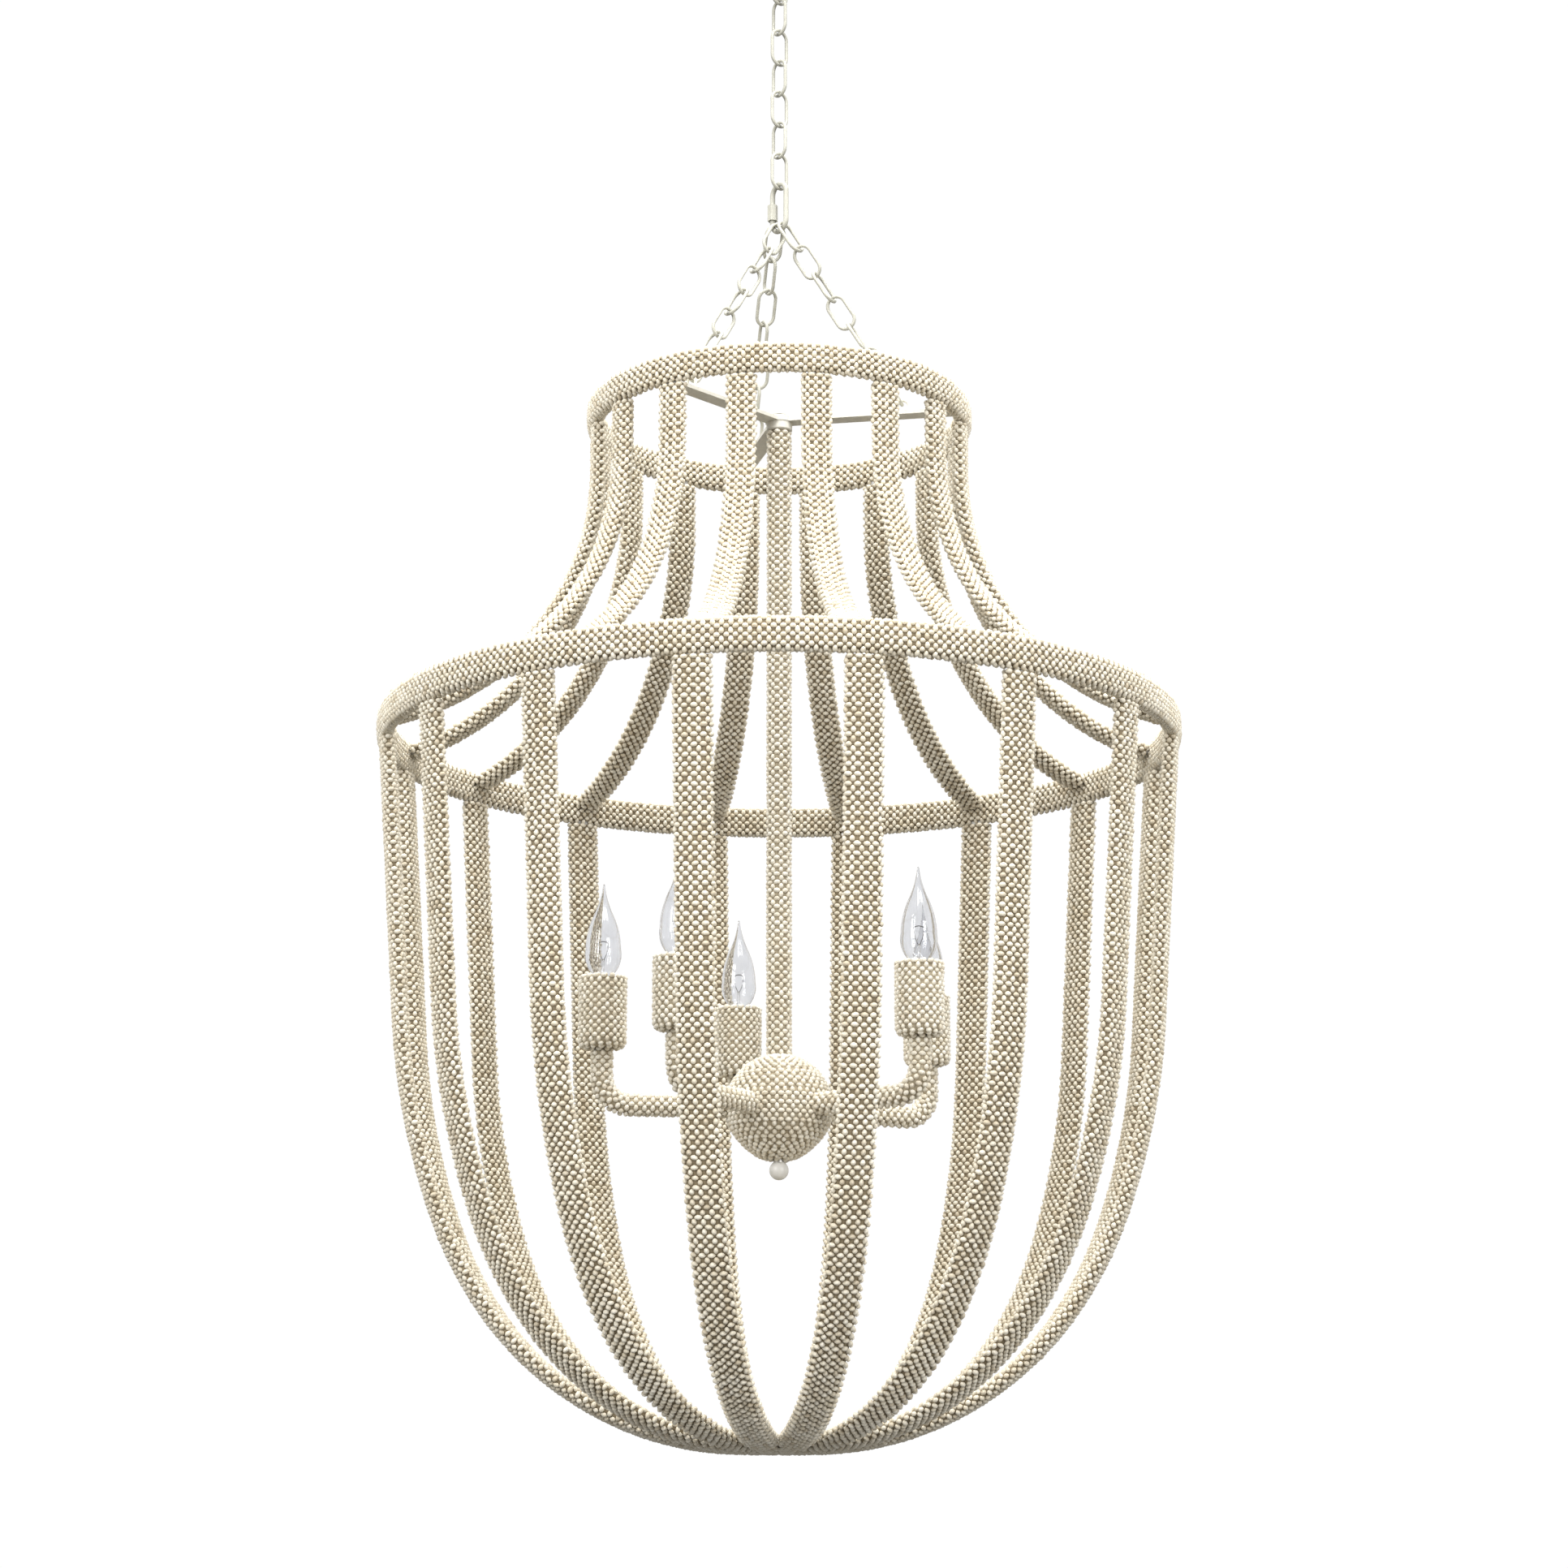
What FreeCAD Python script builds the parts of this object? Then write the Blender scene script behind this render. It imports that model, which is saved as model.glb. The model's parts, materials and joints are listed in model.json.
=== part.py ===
"""Hanging lantern wrapped in small beads, with five candle lights inside its cage.

Frame: millimetres, +Z up, origin at the centre of the canopy's ceiling face, front towards -Y.
Everything hangs below the ceiling, so the heights in the sheet are drops, measured down from it.
An azimuth is the angle round the Z axis from the front, positive towards +X.
"""

import FreeCAD, Part
import math
import os

import Sketcher
from FreeCAD import Placement, Rotation, Vector

# name, value in mm or degrees, meaning
SIZES = [
    ("canopy_radius", 65, "ceiling canopy, outside radius"),
    ("canopy_depth", 28, "ceiling canopy, depth below the ceiling"),
    ("canopy_flat", 30, "radius of the canopy's flat bottom"),
    ("canopy_wall", 1.5, "spun sheet of the canopy"),
    ("crossbar_length", 108, "mounting bar inside the canopy"),
    ("crossbar_width", 20, "mounting bar, width"),
    ("crossbar_thick", 2.5, "mounting bar, thickness"),
    ("box_screw_spacing", 88.9, "outlet box screws, centre to centre"),
    ("box_screw_hole", 2.4, "outlet box screw hole, radius"),
    ("canopy_screw_offset", 22, "canopy screws, distance from the axis"),
    ("canopy_screw_radius", 2, "canopy screws, shank radius"),
    ("shank_radius", 4.8, "threaded shank of the canopy loop"),
    ("collar_radius", 8.5, "collar of the canopy loop"),
    ("collar_height", 10, "collar of the canopy loop"),
    ("loop_radius", 10, "eye of the canopy loop, to the middle of the wire"),
    ("loop_wire", 2.4, "eye of the canopy loop, wire radius"),
    ("chain_wire", 1.6, "chain wire radius"),
    ("chain_bow", 8.9, "bow of a chain link, to the middle of the wire"),
    ("chain_straight", 17.9, "straight side of a main chain link"),
    ("chain_gap", 0.3, "play between two hooked wires"),
    ("leg_gap", 0.6, "play between the quick link and the leg chains"),
    ("chain_turn", 40, "azimuth of the plane of the quick link"),
    ("quick_wire", 2.5, "quick link wire radius"),
    ("quick_bow", 10, "quick link bow, to the middle of the wire"),
    ("quick_straight", 28, "quick link, straight side"),
    ("quick_opening", 6.2, "gap in the quick link under its sleeve"),
    ("quick_stub", 4.7, "straight stub below that gap"),
    ("nut_length", 16, "threaded sleeve of the quick link"),
    ("nut_radius", 5, "threaded sleeve, across the corners, half"),
    ("nut_lap", 1.5, "overlap of the closed sleeve over the stub"),
    ("nut_play", 0.3, "play between the sleeve and the wire"),
    ("spoke_width", 16, "flat bar of the spider"),
    ("spoke_thick", 3.2, "flat bar of the spider"),
    ("hub_radius", 13, "centre disc of the spider"),
    ("eye_reach", 118, "distance from the axis to the eyes on the spokes"),
    ("eye_wire", 1.5, "wire radius of those eyes"),
    ("eye_bow", 5.5, "bow of an eye, to the middle of the wire"),
    ("eye_leg", 7, "straight leg of an eye"),
    ("top_ring_drop", 518.1, "middle of the top ring"),
    ("top_ring_radius", 173.4, "top ring, middle of the band"),
    ("top_ring_height", 29, "top ring, height of the band"),
    ("mid_ring_drop", 826.3, "middle of the large ring"),
    ("mid_ring_radius", 360.3, "large ring, middle of the band"),
    ("mid_ring_height", 31.6, "large ring, height of the band"),
    ("band_thick", 16, "thickness of both beaded rings"),
    ("rib_thick", 15, "thickness of the beaded ribs"),
    ("upper_rib_width", 29, "width of an upper rib"),
    ("lower_rib_width", 35, "width of a lower rib"),
    ("rib_count", 16, "ribs in each half of the cage"),
    ("upper_rib_radius", 179, "outer face of the upper ribs below the top ring"),
    ("flare_drop", 580, "where the upper ribs start to flare"),
    ("flare_radius", 245, "hollow curve of the flare, outer face"),
    ("lower_rib_radius", 366.7, "outer face of the lower ribs under the large ring"),
    ("side_slope", 4.2, "lean of the lower ribs from the vertical"),
    ("side_drop", 1097, "where the lower ribs start to curve"),
    ("side_curve", 620, "first curve of the bowl"),
    ("side_curve_end", 21, "lean at the end of the first curve"),
    ("hip_curve", 340, "second curve of the bowl"),
    ("hip_curve_end", 36, "lean at the end of the second curve"),
    ("base_curve", 290, "last curve, which ends level"),
    ("bar_width", 12, "steel bar inside a rib"),
    ("bar_thick", 3, "steel bar inside a rib"),
    ("ring_bar_height", 18, "steel bar inside the large ring"),
    ("top_bar_height", 14, "steel bar inside the top ring"),
    ("foot_radius", 28, "steel disc inside the floor, where the lower ribs meet"),
    ("ball_drop", 1166.5, "middle of the ball that carries the arms"),
    ("ball_radius", 49.2, "beaded ball"),
    ("core_radius", 42, "steel ball inside the beads"),
    ("pipe_radius", 5, "threaded pipe from the spider to the finial"),
    ("pipe_bore", 3.5, "wire way inside the threaded pipe"),
    ("pipe_play", 0.2, "play between the pipes and what they pass through"),
    ("stem_radius", 12.2, "beaded stem"),
    ("stem_collar_height", 8, "collar between the spider and the stem"),
    ("locknut_height", 4, "lock nut on the spider"),
    ("locknut_radius", 9.5, "lock nut, across the corners, half"),
    ("bushing_radius", 7.2, "cord bushing on the end of the pipe"),
    ("bushing_height", 5, "cord bushing, above the end of the pipe"),
    ("bushing_plug", 6, "cord bushing, inside the pipe"),
    ("pipe_proud", 1.5, "pipe above the lock nut"),
    ("finial_drop", 1222.6, "middle of the finial's ball"),
    ("finial_radius", 8.7, "finial's ball"),
    ("arm_radius", 10.6, "beaded arm"),
    ("tube_radius", 5, "steel tube inside an arm"),
    ("tube_bore", 3.6, "wire way inside an arm"),
    ("arm_reach", 160, "distance from the axis to the candle cups"),
    ("elbow_radius", 24, "bend of an arm"),
    ("cup_rim_drop", 1051, "rims of the candle cups"),
    ("cup_height", 67, "candle cup, outside"),
    ("cup_radius", 22.3, "candle cup, outside"),
    ("cup_wall", 3.8, "candle cup, wall"),
    ("cup_chamfer", 5, "slanted lower edge of a candle cup"),
    ("socket_radius", 14.5, "lampholder"),
    ("socket_height", 61, "lampholder, above the floor of the cup"),
    ("socket_thread", 6, "hole in its foot for the arm's tube"),
    ("socket_bore", 6.7, "lampholder, screw shell inside radius"),
    ("cap_radius", 6, "screw cap of a bulb"),
    ("cap_length", 20, "screw cap of a bulb"),
    ("cap_tip", 2.4, "contact at the end of the cap"),
    ("cap_seat", 0.5, "bulb glass above the lampholder"),
    ("bulb_radius", 16, "bulb glass, widest"),
    ("bulb_length", 86, "bulb glass, from the cap to the tip"),
    ("bulb_neck", 6, "bulb glass at the cap"),
    ("bulb_wall", 0.8, "bulb glass thickness"),
    ("bulb_mount_height", 40, "glass stem and supports inside the bulb"),
]

MAIN_LINKS = 7
LEG_LINKS = 7
ARM_AZIMUTHS = [-81, -33, 50, 121, 194]
# azimuth of each spoke, with the place of its chain round the bow of the quick link
LEGS = [("left", -43, 0), ("right", 80, 40), ("back", 194, -42)]
QUADRANTS = {"front": 0, "right": 90, "back": 180, "left": 270}
UP = Vector(0, 0, 1)
NODES = []

doc = FreeCAD.newDocument("BeadedLantern")
sheet = doc.addObject("Spreadsheet::Sheet", "Size")
for row, (alias, value, meaning) in enumerate(SIZES, start=1):
    sheet.set(f"A{row}", meaning)
    sheet.set(f"B{row}", str(value))
    sheet.setAlias(f"B{row}", alias)
doc.recompute()


def size(expression):
    """The value of an expression of the sheet's aliases, as a plain number."""
    return float(sheet.evalExpression(expression))


def direction(azimuth):
    """The level unit vector at an azimuth from the front."""
    angle = math.radians(azimuth)
    return Vector(math.sin(angle), -math.cos(angle), 0)


def turned_to(azimuth):
    """The rotation that takes +X to an azimuth."""
    return Rotation(UP, azimuth - 90)


def bind(thing, **expressions):
    """Bind properties to expressions of the sheet."""
    for name, expression in expressions.items():
        thing.setExpression(name, expression)


def make(kind, name, place=None, **expressions):
    """A Part primitive with its sizes bound to the sheet."""
    thing = doc.addObject(kind, name)
    bind(thing, **expressions)
    if place is not None:
        thing.Placement = place
    return thing


def joined(name, pieces):
    """Several touching solids fused into one."""
    fuse = doc.addObject("Part::MultiFuse", name)
    fuse.Shapes = pieces
    fuse.Refine = True
    return fuse


def minus(name, base, tool):
    """One solid with another cut away."""
    cut = doc.addObject("Part::Cut", name)
    cut.Base = base
    cut.Tool = tool
    return cut


def grouped(name, pieces):
    """Separate solids kept in one sub-part."""
    group = doc.addObject("Part::Compound", name)
    group.Links = pieces
    return group


def node(thing, name):
    """Name a finished sub-part, which is written to its own file."""
    thing.Label = name
    NODES.append(thing)
    return thing


def turned(name, outline, place=None):
    """A body turned about its Z axis; the outline holds (radius, height) expressions."""
    body = doc.addObject("PartDesign::Body", name)
    sketch = body.newObject("Sketcher::SketchObject", name + "_outline")
    plane = next(f for f in body.Origin.OriginFeatures if f.Role == "XZ_Plane")
    sketch.AttachmentSupport = [(plane, "")]
    sketch.MapMode = "FlatFace"
    points = [Vector(size(r), size(z), 0) for r, z in outline]
    for start, end in zip(points, points[1:] + points[:1]):
        sketch.addGeometry(Part.LineSegment(start, end), False)
    for line in range(len(points)):
        following = (line + 1) % len(points)
        sketch.addConstraint(Sketcher.Constraint("Coincident", line, 2, following, 1))
    for line, pair in enumerate(outline):
        for kind, axis, expression in zip(("DistanceX", "DistanceY"), (-2, -1), pair):
            if size(expression) == 0:
                sketch.addConstraint(Sketcher.Constraint("PointOnObject", line, 1, axis))
                continue
            rule = Sketcher.Constraint(kind, -1, 1, line, 1, size(expression))
            index = sketch.addConstraint(rule)
            sketch.setExpression(f"Constraints[{index}]", expression)
    turn = body.newObject("PartDesign::Revolution", name + "_turn")
    turn.Profile = sketch
    turn.ReferenceAxis = (sketch, ["V_Axis"])
    turn.Angle = 360
    if place is not None:
        body.Placement = place
    return body


def upright(height):
    """A placement on the axis at a height."""
    return Placement(Vector(0, 0, height), Rotation())


X_AXIS = Vector(1, 0, 0)
PLAY_HOLE = "Size.pipe_radius + Size.pipe_play"


def standing(width, up):
    """The rotation that lays local X along a width direction and local Z along an up direction."""
    return Rotation(width, up.cross(width), up, "ZXY")


def hexagon(name, height, radius, hole, place):
    """A hexagonal nut with a plain hole."""
    nut = make("Part::Prism", name + "_hexagon", place, Circumradius=radius, Height=height)
    drill = make("Part::Cylinder", name + "_drill", place, Radius=hole, Height=height)
    return minus(name + "_solid", nut, drill)


# ---------------------------------------------------------------- ceiling fittings


def ceiling_fittings():
    """Canopy, mounting bar, screws, and the threaded loop that the chain hangs from."""
    bottom = -size("Size.canopy_depth")
    thick = size("Size.crossbar_thick")
    offset = size("Size.canopy_screw_offset")
    clear = "Size.canopy_screw_radius + Size.pipe_play"
    shank_hole = "Size.shank_radius + Size.pipe_play"
    inner = "Size.canopy_radius - Size.canopy_wall"
    shell = turned(
        "canopy_shell",
        [
            (shank_hole, "0"),
            ("Size.canopy_flat", "0"),
            ("Size.canopy_radius", "Size.canopy_depth * 0.6"),
            ("Size.canopy_radius", "Size.canopy_depth"),
            (inner, "Size.canopy_depth"),
            (inner, "Size.canopy_depth * 0.6 + Size.canopy_wall / 2"),
            ("Size.canopy_flat - Size.canopy_wall / 2", "Size.canopy_wall"),
            (shank_hole, "Size.canopy_wall"),
        ],
        upright(bottom),
    )
    screw_places = [Vector(0, side * offset, 0) for side in (-1, 1)]
    holes = []
    for index, place in enumerate(screw_places):
        start = Placement(place + UP * (bottom - 1), Rotation())
        drill = make("Part::Cylinder", f"screw_way_{index}", start, Radius=clear, Height="Size.canopy_depth")
        holes.append(drill)
    node(minus("canopy_drilled", shell, grouped("screw_ways", holes)), "canopy")

    bars = []
    for index, angle in enumerate((0, 90)):
        turn = Rotation(UP, angle)
        corner = Vector(-size("Size.crossbar_length / 2"), -size("Size.crossbar_width / 2"), -thick)
        bars.append(
            make(
                "Part::Box",
                f"crossbar_bar_{index}",
                Placement(turn.multVec(corner), turn),
                Length="Size.crossbar_length",
                Width="Size.crossbar_width",
                Height="Size.crossbar_thick",
            )
        )
    drills = [make("Part::Cylinder", "shank_way", upright(-thick), Radius=shank_hole, Height="Size.crossbar_thick")]
    spots = [(place, clear) for place in screw_places]
    box_offset = size("Size.box_screw_spacing / 2")
    spots += [(Vector(side * box_offset, 0, 0), "Size.box_screw_hole") for side in (-1, 1)]
    for index, (place, radius) in enumerate(spots):
        start = Placement(place - UP * thick, Rotation())
        drills.append(
            make("Part::Cylinder", f"crossbar_drill_{index}", start, Radius=radius, Height="Size.crossbar_thick")
        )
    cross = joined("crossbar_cross", bars)
    node(minus("crossbar_drilled", cross, grouped("crossbar_drills", drills)), "crossbar")

    head_radius = "Size.canopy_screw_radius + 2"
    screws = []
    for index, place in enumerate(screw_places):
        outline = [
            ("0", "0"),
            ("Size.canopy_screw_radius + 1", "0"),
            (head_radius, "1"),
            (head_radius, "3"),
            ("Size.canopy_screw_radius", "3"),
            ("Size.canopy_screw_radius", "Size.canopy_depth + 2"),
            ("0", "Size.canopy_depth + 2"),
        ]
        start = Placement(place + UP * (bottom - 3), Rotation())
        screws.append(turned(f"canopy_screw_{index}", outline, start))
    node(grouped("canopy_screw_pair", screws), "canopy_screws")

    turn = standing(direction(size("Size.chain_turn")), UP)
    flat_eye = Rotation(X_AXIS, 90)
    eye_place = Placement(Vector(0, 0, loop_centre()), turn * flat_eye)
    eye = make("Part::Torus", "loop_eye", eye_place, Radius1="Size.loop_radius", Radius2="Size.loop_wire")
    collar_place = upright(bottom - size("Size.collar_height"))
    collar = make(
        "Part::Cylinder", "loop_collar", collar_place, Radius="Size.collar_radius", Height="Size.collar_height"
    )
    shank = make(
        "Part::Cylinder",
        "loop_shank",
        upright(bottom),
        Radius="Size.shank_radius",
        Height="Size.canopy_depth - Size.crossbar_thick",
    )
    node(joined("loop_solid", [eye, collar, shank]), "canopy_loop")
    nut_place = upright(bottom + size("Size.canopy_wall"))
    nut = hexagon("loop_nut", "Size.locknut_height", "Size.locknut_radius", "Size.shank_radius", nut_place)
    node(nut, "loop_nut")


# ---------------------------------------------------------------- chain


def loop_centre():
    """Height of the middle of the canopy loop's eye, whose wire is sunk in the collar."""
    return -size("Size.canopy_depth + Size.collar_height + Size.loop_radius - 1")


def link_span():
    """Middle of the top bow's wire to middle of the bottom bow's wire, on a main link."""
    return size("Size.chain_straight + 2 * Size.chain_bow")


def hook_height(index):
    """Height of the top bow's wire of main link number index, counted from 0 at the top."""
    first = loop_centre() + size("Size.loop_wire + Size.chain_wire + Size.chain_gap - Size.loop_radius")
    pitch = link_span() - size("2 * Size.chain_wire + Size.chain_gap")
    return first - pitch * index


def quick_top():
    """Height of the middle of the wire at the top of the quick link."""
    last = hook_height(MAIN_LINKS - 1) - link_span()
    return last + size("Size.chain_wire + Size.quick_wire + Size.chain_gap")


def quick_bow_centre():
    """Centre of the quick link's lower bow."""
    return Vector(0, 0, quick_top() - size("Size.quick_bow + Size.quick_straight"))


def bows(name, wire, bow, straight):
    """The two half rings of a link that lies in the XZ plane with its middle at the origin."""
    pieces = []
    for end, angle in (("top", 90), ("bottom", -90)):
        height = math.copysign(size(straight) / 2, angle)
        place = Placement(Vector(0, 0, height), Rotation(X_AXIS, angle))
        half = make("Part::Torus", f"{name}_{end}", place, Radius1=bow, Radius2=wire)
        half.Angle3 = 180
        pieces.append(half)
    return pieces


def side_bar(name, wire, bow, side, bottom, length):
    """A straight stretch of wire, upright, on one side of a link."""
    place = Placement(Vector(side * size(bow), 0, bottom), Rotation())
    return make("Part::Cylinder", name, place, Radius=wire, Height=length)


def oval_link(name, straight, place):
    """A closed chain link."""
    wire = "Size.chain_wire"
    bow = "Size.chain_bow"
    pieces = bows(name, wire, bow, straight)
    for side in (-1, 1):
        pieces.append(side_bar(f"{name}_side_{side + 1}", wire, bow, side, -size(straight) / 2, straight))
    link = joined(name, pieces)
    link.Placement = place
    return link


def main_chain():
    """The seven links between the canopy loop and the quick link, each turned across the last."""
    turn = size("Size.chain_turn")
    for index in range(MAIN_LINKS):
        width = direction(turn + 90 * (index + 1))
        middle = Vector(0, 0, hook_height(index) - link_span() / 2)
        link = oval_link(f"main_link_{index}", "Size.chain_straight", Placement(middle, standing(width, UP)))
        node(link, f"chain_link_{index + 1}")


def quick_link():
    """The quick link, which is open on one side, and the threaded sleeve that closes it."""
    wire = "Size.quick_wire"
    bow = "Size.quick_bow"
    straight = "Size.quick_straight"
    low = -size(straight) / 2
    pieces = bows("quick", wire, bow, straight)
    pieces.append(side_bar("quick_back", wire, bow, 1, low, straight))
    pieces.append(side_bar("quick_stub", wire, bow, -1, low, "Size.quick_stub"))
    above = low + size("Size.quick_stub + Size.quick_opening")
    rest = "Size.quick_straight - Size.quick_stub - Size.quick_opening"
    pieces.append(side_bar("quick_thread", wire, bow, -1, above, rest))
    link = joined("quick_solid", pieces)
    width = direction(size("Size.chain_turn"))
    middle = quick_bow_centre() - UP * low
    link.Placement = Placement(middle, standing(width, UP))
    node(link, "quick_link")
    start = middle - width * size(bow) + UP * (low + size("Size.quick_stub - Size.nut_lap"))
    place = Placement(start, standing(width, UP))
    sleeve = hexagon("quick_sleeve", "Size.nut_length", "Size.nut_radius", "Size.quick_wire + Size.nut_play", place)
    node(sleeve, "quick_link_sleeve")


def leg_chain(name, azimuth, bow_angle):
    """Seven links from the quick link down to the eye on one spoke, and that eye."""
    quick_plane = direction(size("Size.chain_turn"))
    angle = math.radians(bow_angle)
    wire_run = quick_plane * math.cos(angle) + UP * math.sin(angle)
    bow_side = quick_plane * math.sin(angle) - UP * math.cos(angle)
    hook = quick_bow_centre() + bow_side * size("Size.quick_bow")

    out = direction(azimuth)
    foot = out * size("Size.eye_reach") + UP * size("Size.spoke_thick / 2 - Size.top_ring_drop")
    eye_middle = foot + UP * size("Size.eye_leg")
    eye_run = UP.cross(out) if bow_angle == 0 else out
    pull = UP if bow_angle == 0 else (hook - eye_middle).normalize()
    arch = eye_middle + pull * size("Size.eye_bow")
    rise = (hook - arch).normalize()
    top = hook + rise * size("Size.quick_wire + Size.chain_wire + Size.leg_gap")
    hooked = size("Size.eye_wire + Size.chain_wire + Size.chain_gap")
    lap = size("2 * Size.chain_wire + Size.chain_gap")
    span = (top.distanceToPoint(arch) + hooked + (LEG_LINKS - 1) * lap) / LEG_LINKS
    straight = span - size("2 * Size.chain_bow")

    first_width = rise.cross(wire_run).normalize()
    last_width = rise.cross(eye_run).normalize()
    if first_width.dot(last_width) < 0:
        last_width = -last_width
    twist = math.degrees(math.asin(first_width.cross(last_width).dot(rise)))
    links = []
    for index in range(LEG_LINKS):
        turn = Rotation(rise, 90 * index + twist * index / (LEG_LINKS - 1))
        middle = top - rise * (span / 2 + index * (span - lap))
        place = Placement(middle, standing(turn.multVec(first_width), rise))
        links.append(oval_link(f"leg_{name}_{index}", f"{straight:.4f}", place))
    node(grouped(f"leg_{name}_links", links), f"leg_chain_{name}")

    bow_height = size("Size.eye_leg")
    half = make(
        "Part::Torus",
        f"eye_{name}_arch",
        Placement(Vector(0, 0, bow_height), Rotation(X_AXIS, 90)),
        Radius1="Size.eye_bow",
        Radius2="Size.eye_wire",
    )
    half.Angle3 = 180
    pieces = [half]
    for side in (-1, 1):
        pieces.append(side_bar(f"eye_{name}_leg_{side + 1}", "Size.eye_wire", "Size.eye_bow", side, 0, "Size.eye_leg"))
    eye = joined(f"eye_{name}", pieces)
    eye.Placement = Placement(foot, standing(eye_run, UP))
    return eye


# ---------------------------------------------------------------- steel inside the cage


def band_face(outline):
    """A flat face in the XZ plane from a closed list of edges."""
    return Part.Face(Part.Wire(outline))


def thick_slab(face, width):
    """A face of the XZ plane made into a solid, half the width to each side of the plane."""
    slab = face.extrude(Vector(0, width, 0))
    slab.translate(Vector(0, -width / 2, 0))
    return slab


def flared_band(near, far, top, reach):
    """The side view of an upper rib or its bar: straight down, then flaring outwards."""
    start = size("Size.upper_rib_radius")
    curve = size("Size.flare_radius")
    level = -size("Size.flare_drop")
    centre = Vector(start + curve, 0, level)

    def point(depth, angle):
        return centre + Vector(-math.cos(angle), 0, -math.sin(angle)) * (curve + depth)

    def end_angle(depth):
        return math.acos((start + curve - reach) / (curve + depth))

    def arc(depth):
        end = end_angle(depth)
        return Part.Arc(point(depth, 0), point(depth, end / 2), point(depth, end)).toShape()

    high_near = Vector(start - near, 0, top)
    high_far = Vector(start - far, 0, top)
    end_near = point(near, end_angle(near))
    end_far = point(far, end_angle(far))
    return band_face(
        [
            Part.makeLine(high_near, point(near, 0)),
            arc(near),
            Part.makeLine(end_near, end_far),
            arc(far),
            Part.makeLine(point(far, 0), high_far),
            Part.makeLine(high_far, high_near),
        ]
    )


def bowl_edge(depth, top, end_radius):
    """One edge of a lower rib's side view, from the large ring to the middle of the floor."""
    lean = math.radians(size("Size.side_slope"))
    under_ring = -size("Size.mid_ring_drop + Size.mid_ring_height / 2")
    along = Vector(-math.sin(lean), 0, -math.cos(lean))
    inward = Vector(-math.cos(lean), 0, math.sin(lean))
    corner = Vector(size("Size.lower_rib_radius"), 0, under_ring)
    start = corner + inward * depth
    start = start + along * ((start.z - top) / math.cos(lean))
    bend = corner + along * ((size("Size.side_drop") + under_ring) / math.cos(lean)) + inward * depth
    edges = [Part.makeLine(start, bend)]
    point = bend
    angle = lean
    curves = [
        ("side_curve", size("Size.side_curve_end")),
        ("hip_curve", size("Size.hip_curve_end")),
        ("base_curve", 90),
    ]
    for name, end in curves:
        radius = size(f"Size.{name}") - depth
        centre = point + Vector(-math.cos(angle), 0, math.sin(angle)) * radius
        stops = [angle, (angle + math.radians(end)) / 2, math.radians(end)]
        marks = [centre + Vector(math.cos(stop), 0, -math.sin(stop)) * radius for stop in stops]
        edges.append(Part.Arc(*marks).toShape())
        point = marks[-1]
        angle = stops[-1]
    finish = Vector(end_radius, 0, point.z)
    edges.append(Part.makeLine(point, finish))
    return edges, start, finish


def bowl_band(near, far, top, end_radius):
    """The side view of a lower rib or its bar."""
    outer, outer_start, outer_end = bowl_edge(near, top, end_radius)
    inner, inner_start, inner_end = bowl_edge(far, top, end_radius)
    ends = [Part.makeLine(outer_end, inner_end), Part.makeLine(inner_start, outer_start)]
    return band_face(Part.sortEdges(outer + inner + ends)[0])


def bar_depths():
    """How far the two faces of a steel bar lie behind the outer face of its rib."""
    middle = size("Size.rib_thick / 2")
    half = size("Size.bar_thick / 2")
    return middle - half, middle + half


def upper_bar():
    near, far = bar_depths()
    face = flared_band(near, far, -size("Size.top_ring_drop"), size("Size.mid_ring_radius"))
    return thick_slab(face, size("Size.bar_width"))


def lower_bar():
    near, far = bar_depths()
    top = -size("Size.mid_ring_drop + Size.ring_bar_height / 2 - 2")
    face = bowl_band(near, far, top, size("Size.foot_radius / 2"))
    return thick_slab(face, size("Size.bar_width"))


def floor_height():
    """Height of the underside of the cage."""
    return bowl_edge(0, -size("Size.mid_ring_drop"), 0)[2].z


def foot_disc():
    """The disc at mid depth in the floor, which the lower bars are welded to."""
    near, far = bar_depths()
    return Part.makeCylinder(size("Size.foot_radius"), far - near, Vector(0, 0, floor_height() + near))


def hoop(radius, thick, height, middle):
    """A flat band bent into a ring."""
    bottom = Vector(0, 0, middle - height / 2)
    outer = Part.makeCylinder(radius + thick / 2, height, bottom)
    return outer.cut(Part.makeCylinder(radius - thick / 2, height, bottom))


def rib_azimuths():
    step = 360 / size("Size.rib_count")
    return [step * (index + 0.5) for index in range(int(size("Size.rib_count")))]


def placed(shape, azimuth):
    """A copy of a shape of the XZ plane, turned to an azimuth."""
    copy = shape.copy()
    copy.rotate(Vector(0, 0, 0), UP, azimuth - 90)
    return copy


def cage_frame():
    """The welded steel frame: two hoops, thirty-two bent bars and the disc under them."""
    thick = size("Size.bar_thick")
    top = hoop(
        size("Size.top_ring_radius"), thick, size("Size.top_bar_height"), -size("Size.top_ring_drop")
    )
    large = hoop(
        size("Size.mid_ring_radius"), thick, size("Size.ring_bar_height"), -size("Size.mid_ring_drop")
    )
    bars = [placed(bar, azimuth) for bar in (upper_bar(), lower_bar()) for azimuth in rib_azimuths()]
    frame = doc.addObject("Part::Feature", "frame_solid")
    frame.Shape = foot_disc().multiFuse([top, large] + bars).removeSplitter()
    return node(frame, "cage_frame")


# ---------------------------------------------------------------- beaded sleeves of the cage


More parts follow.
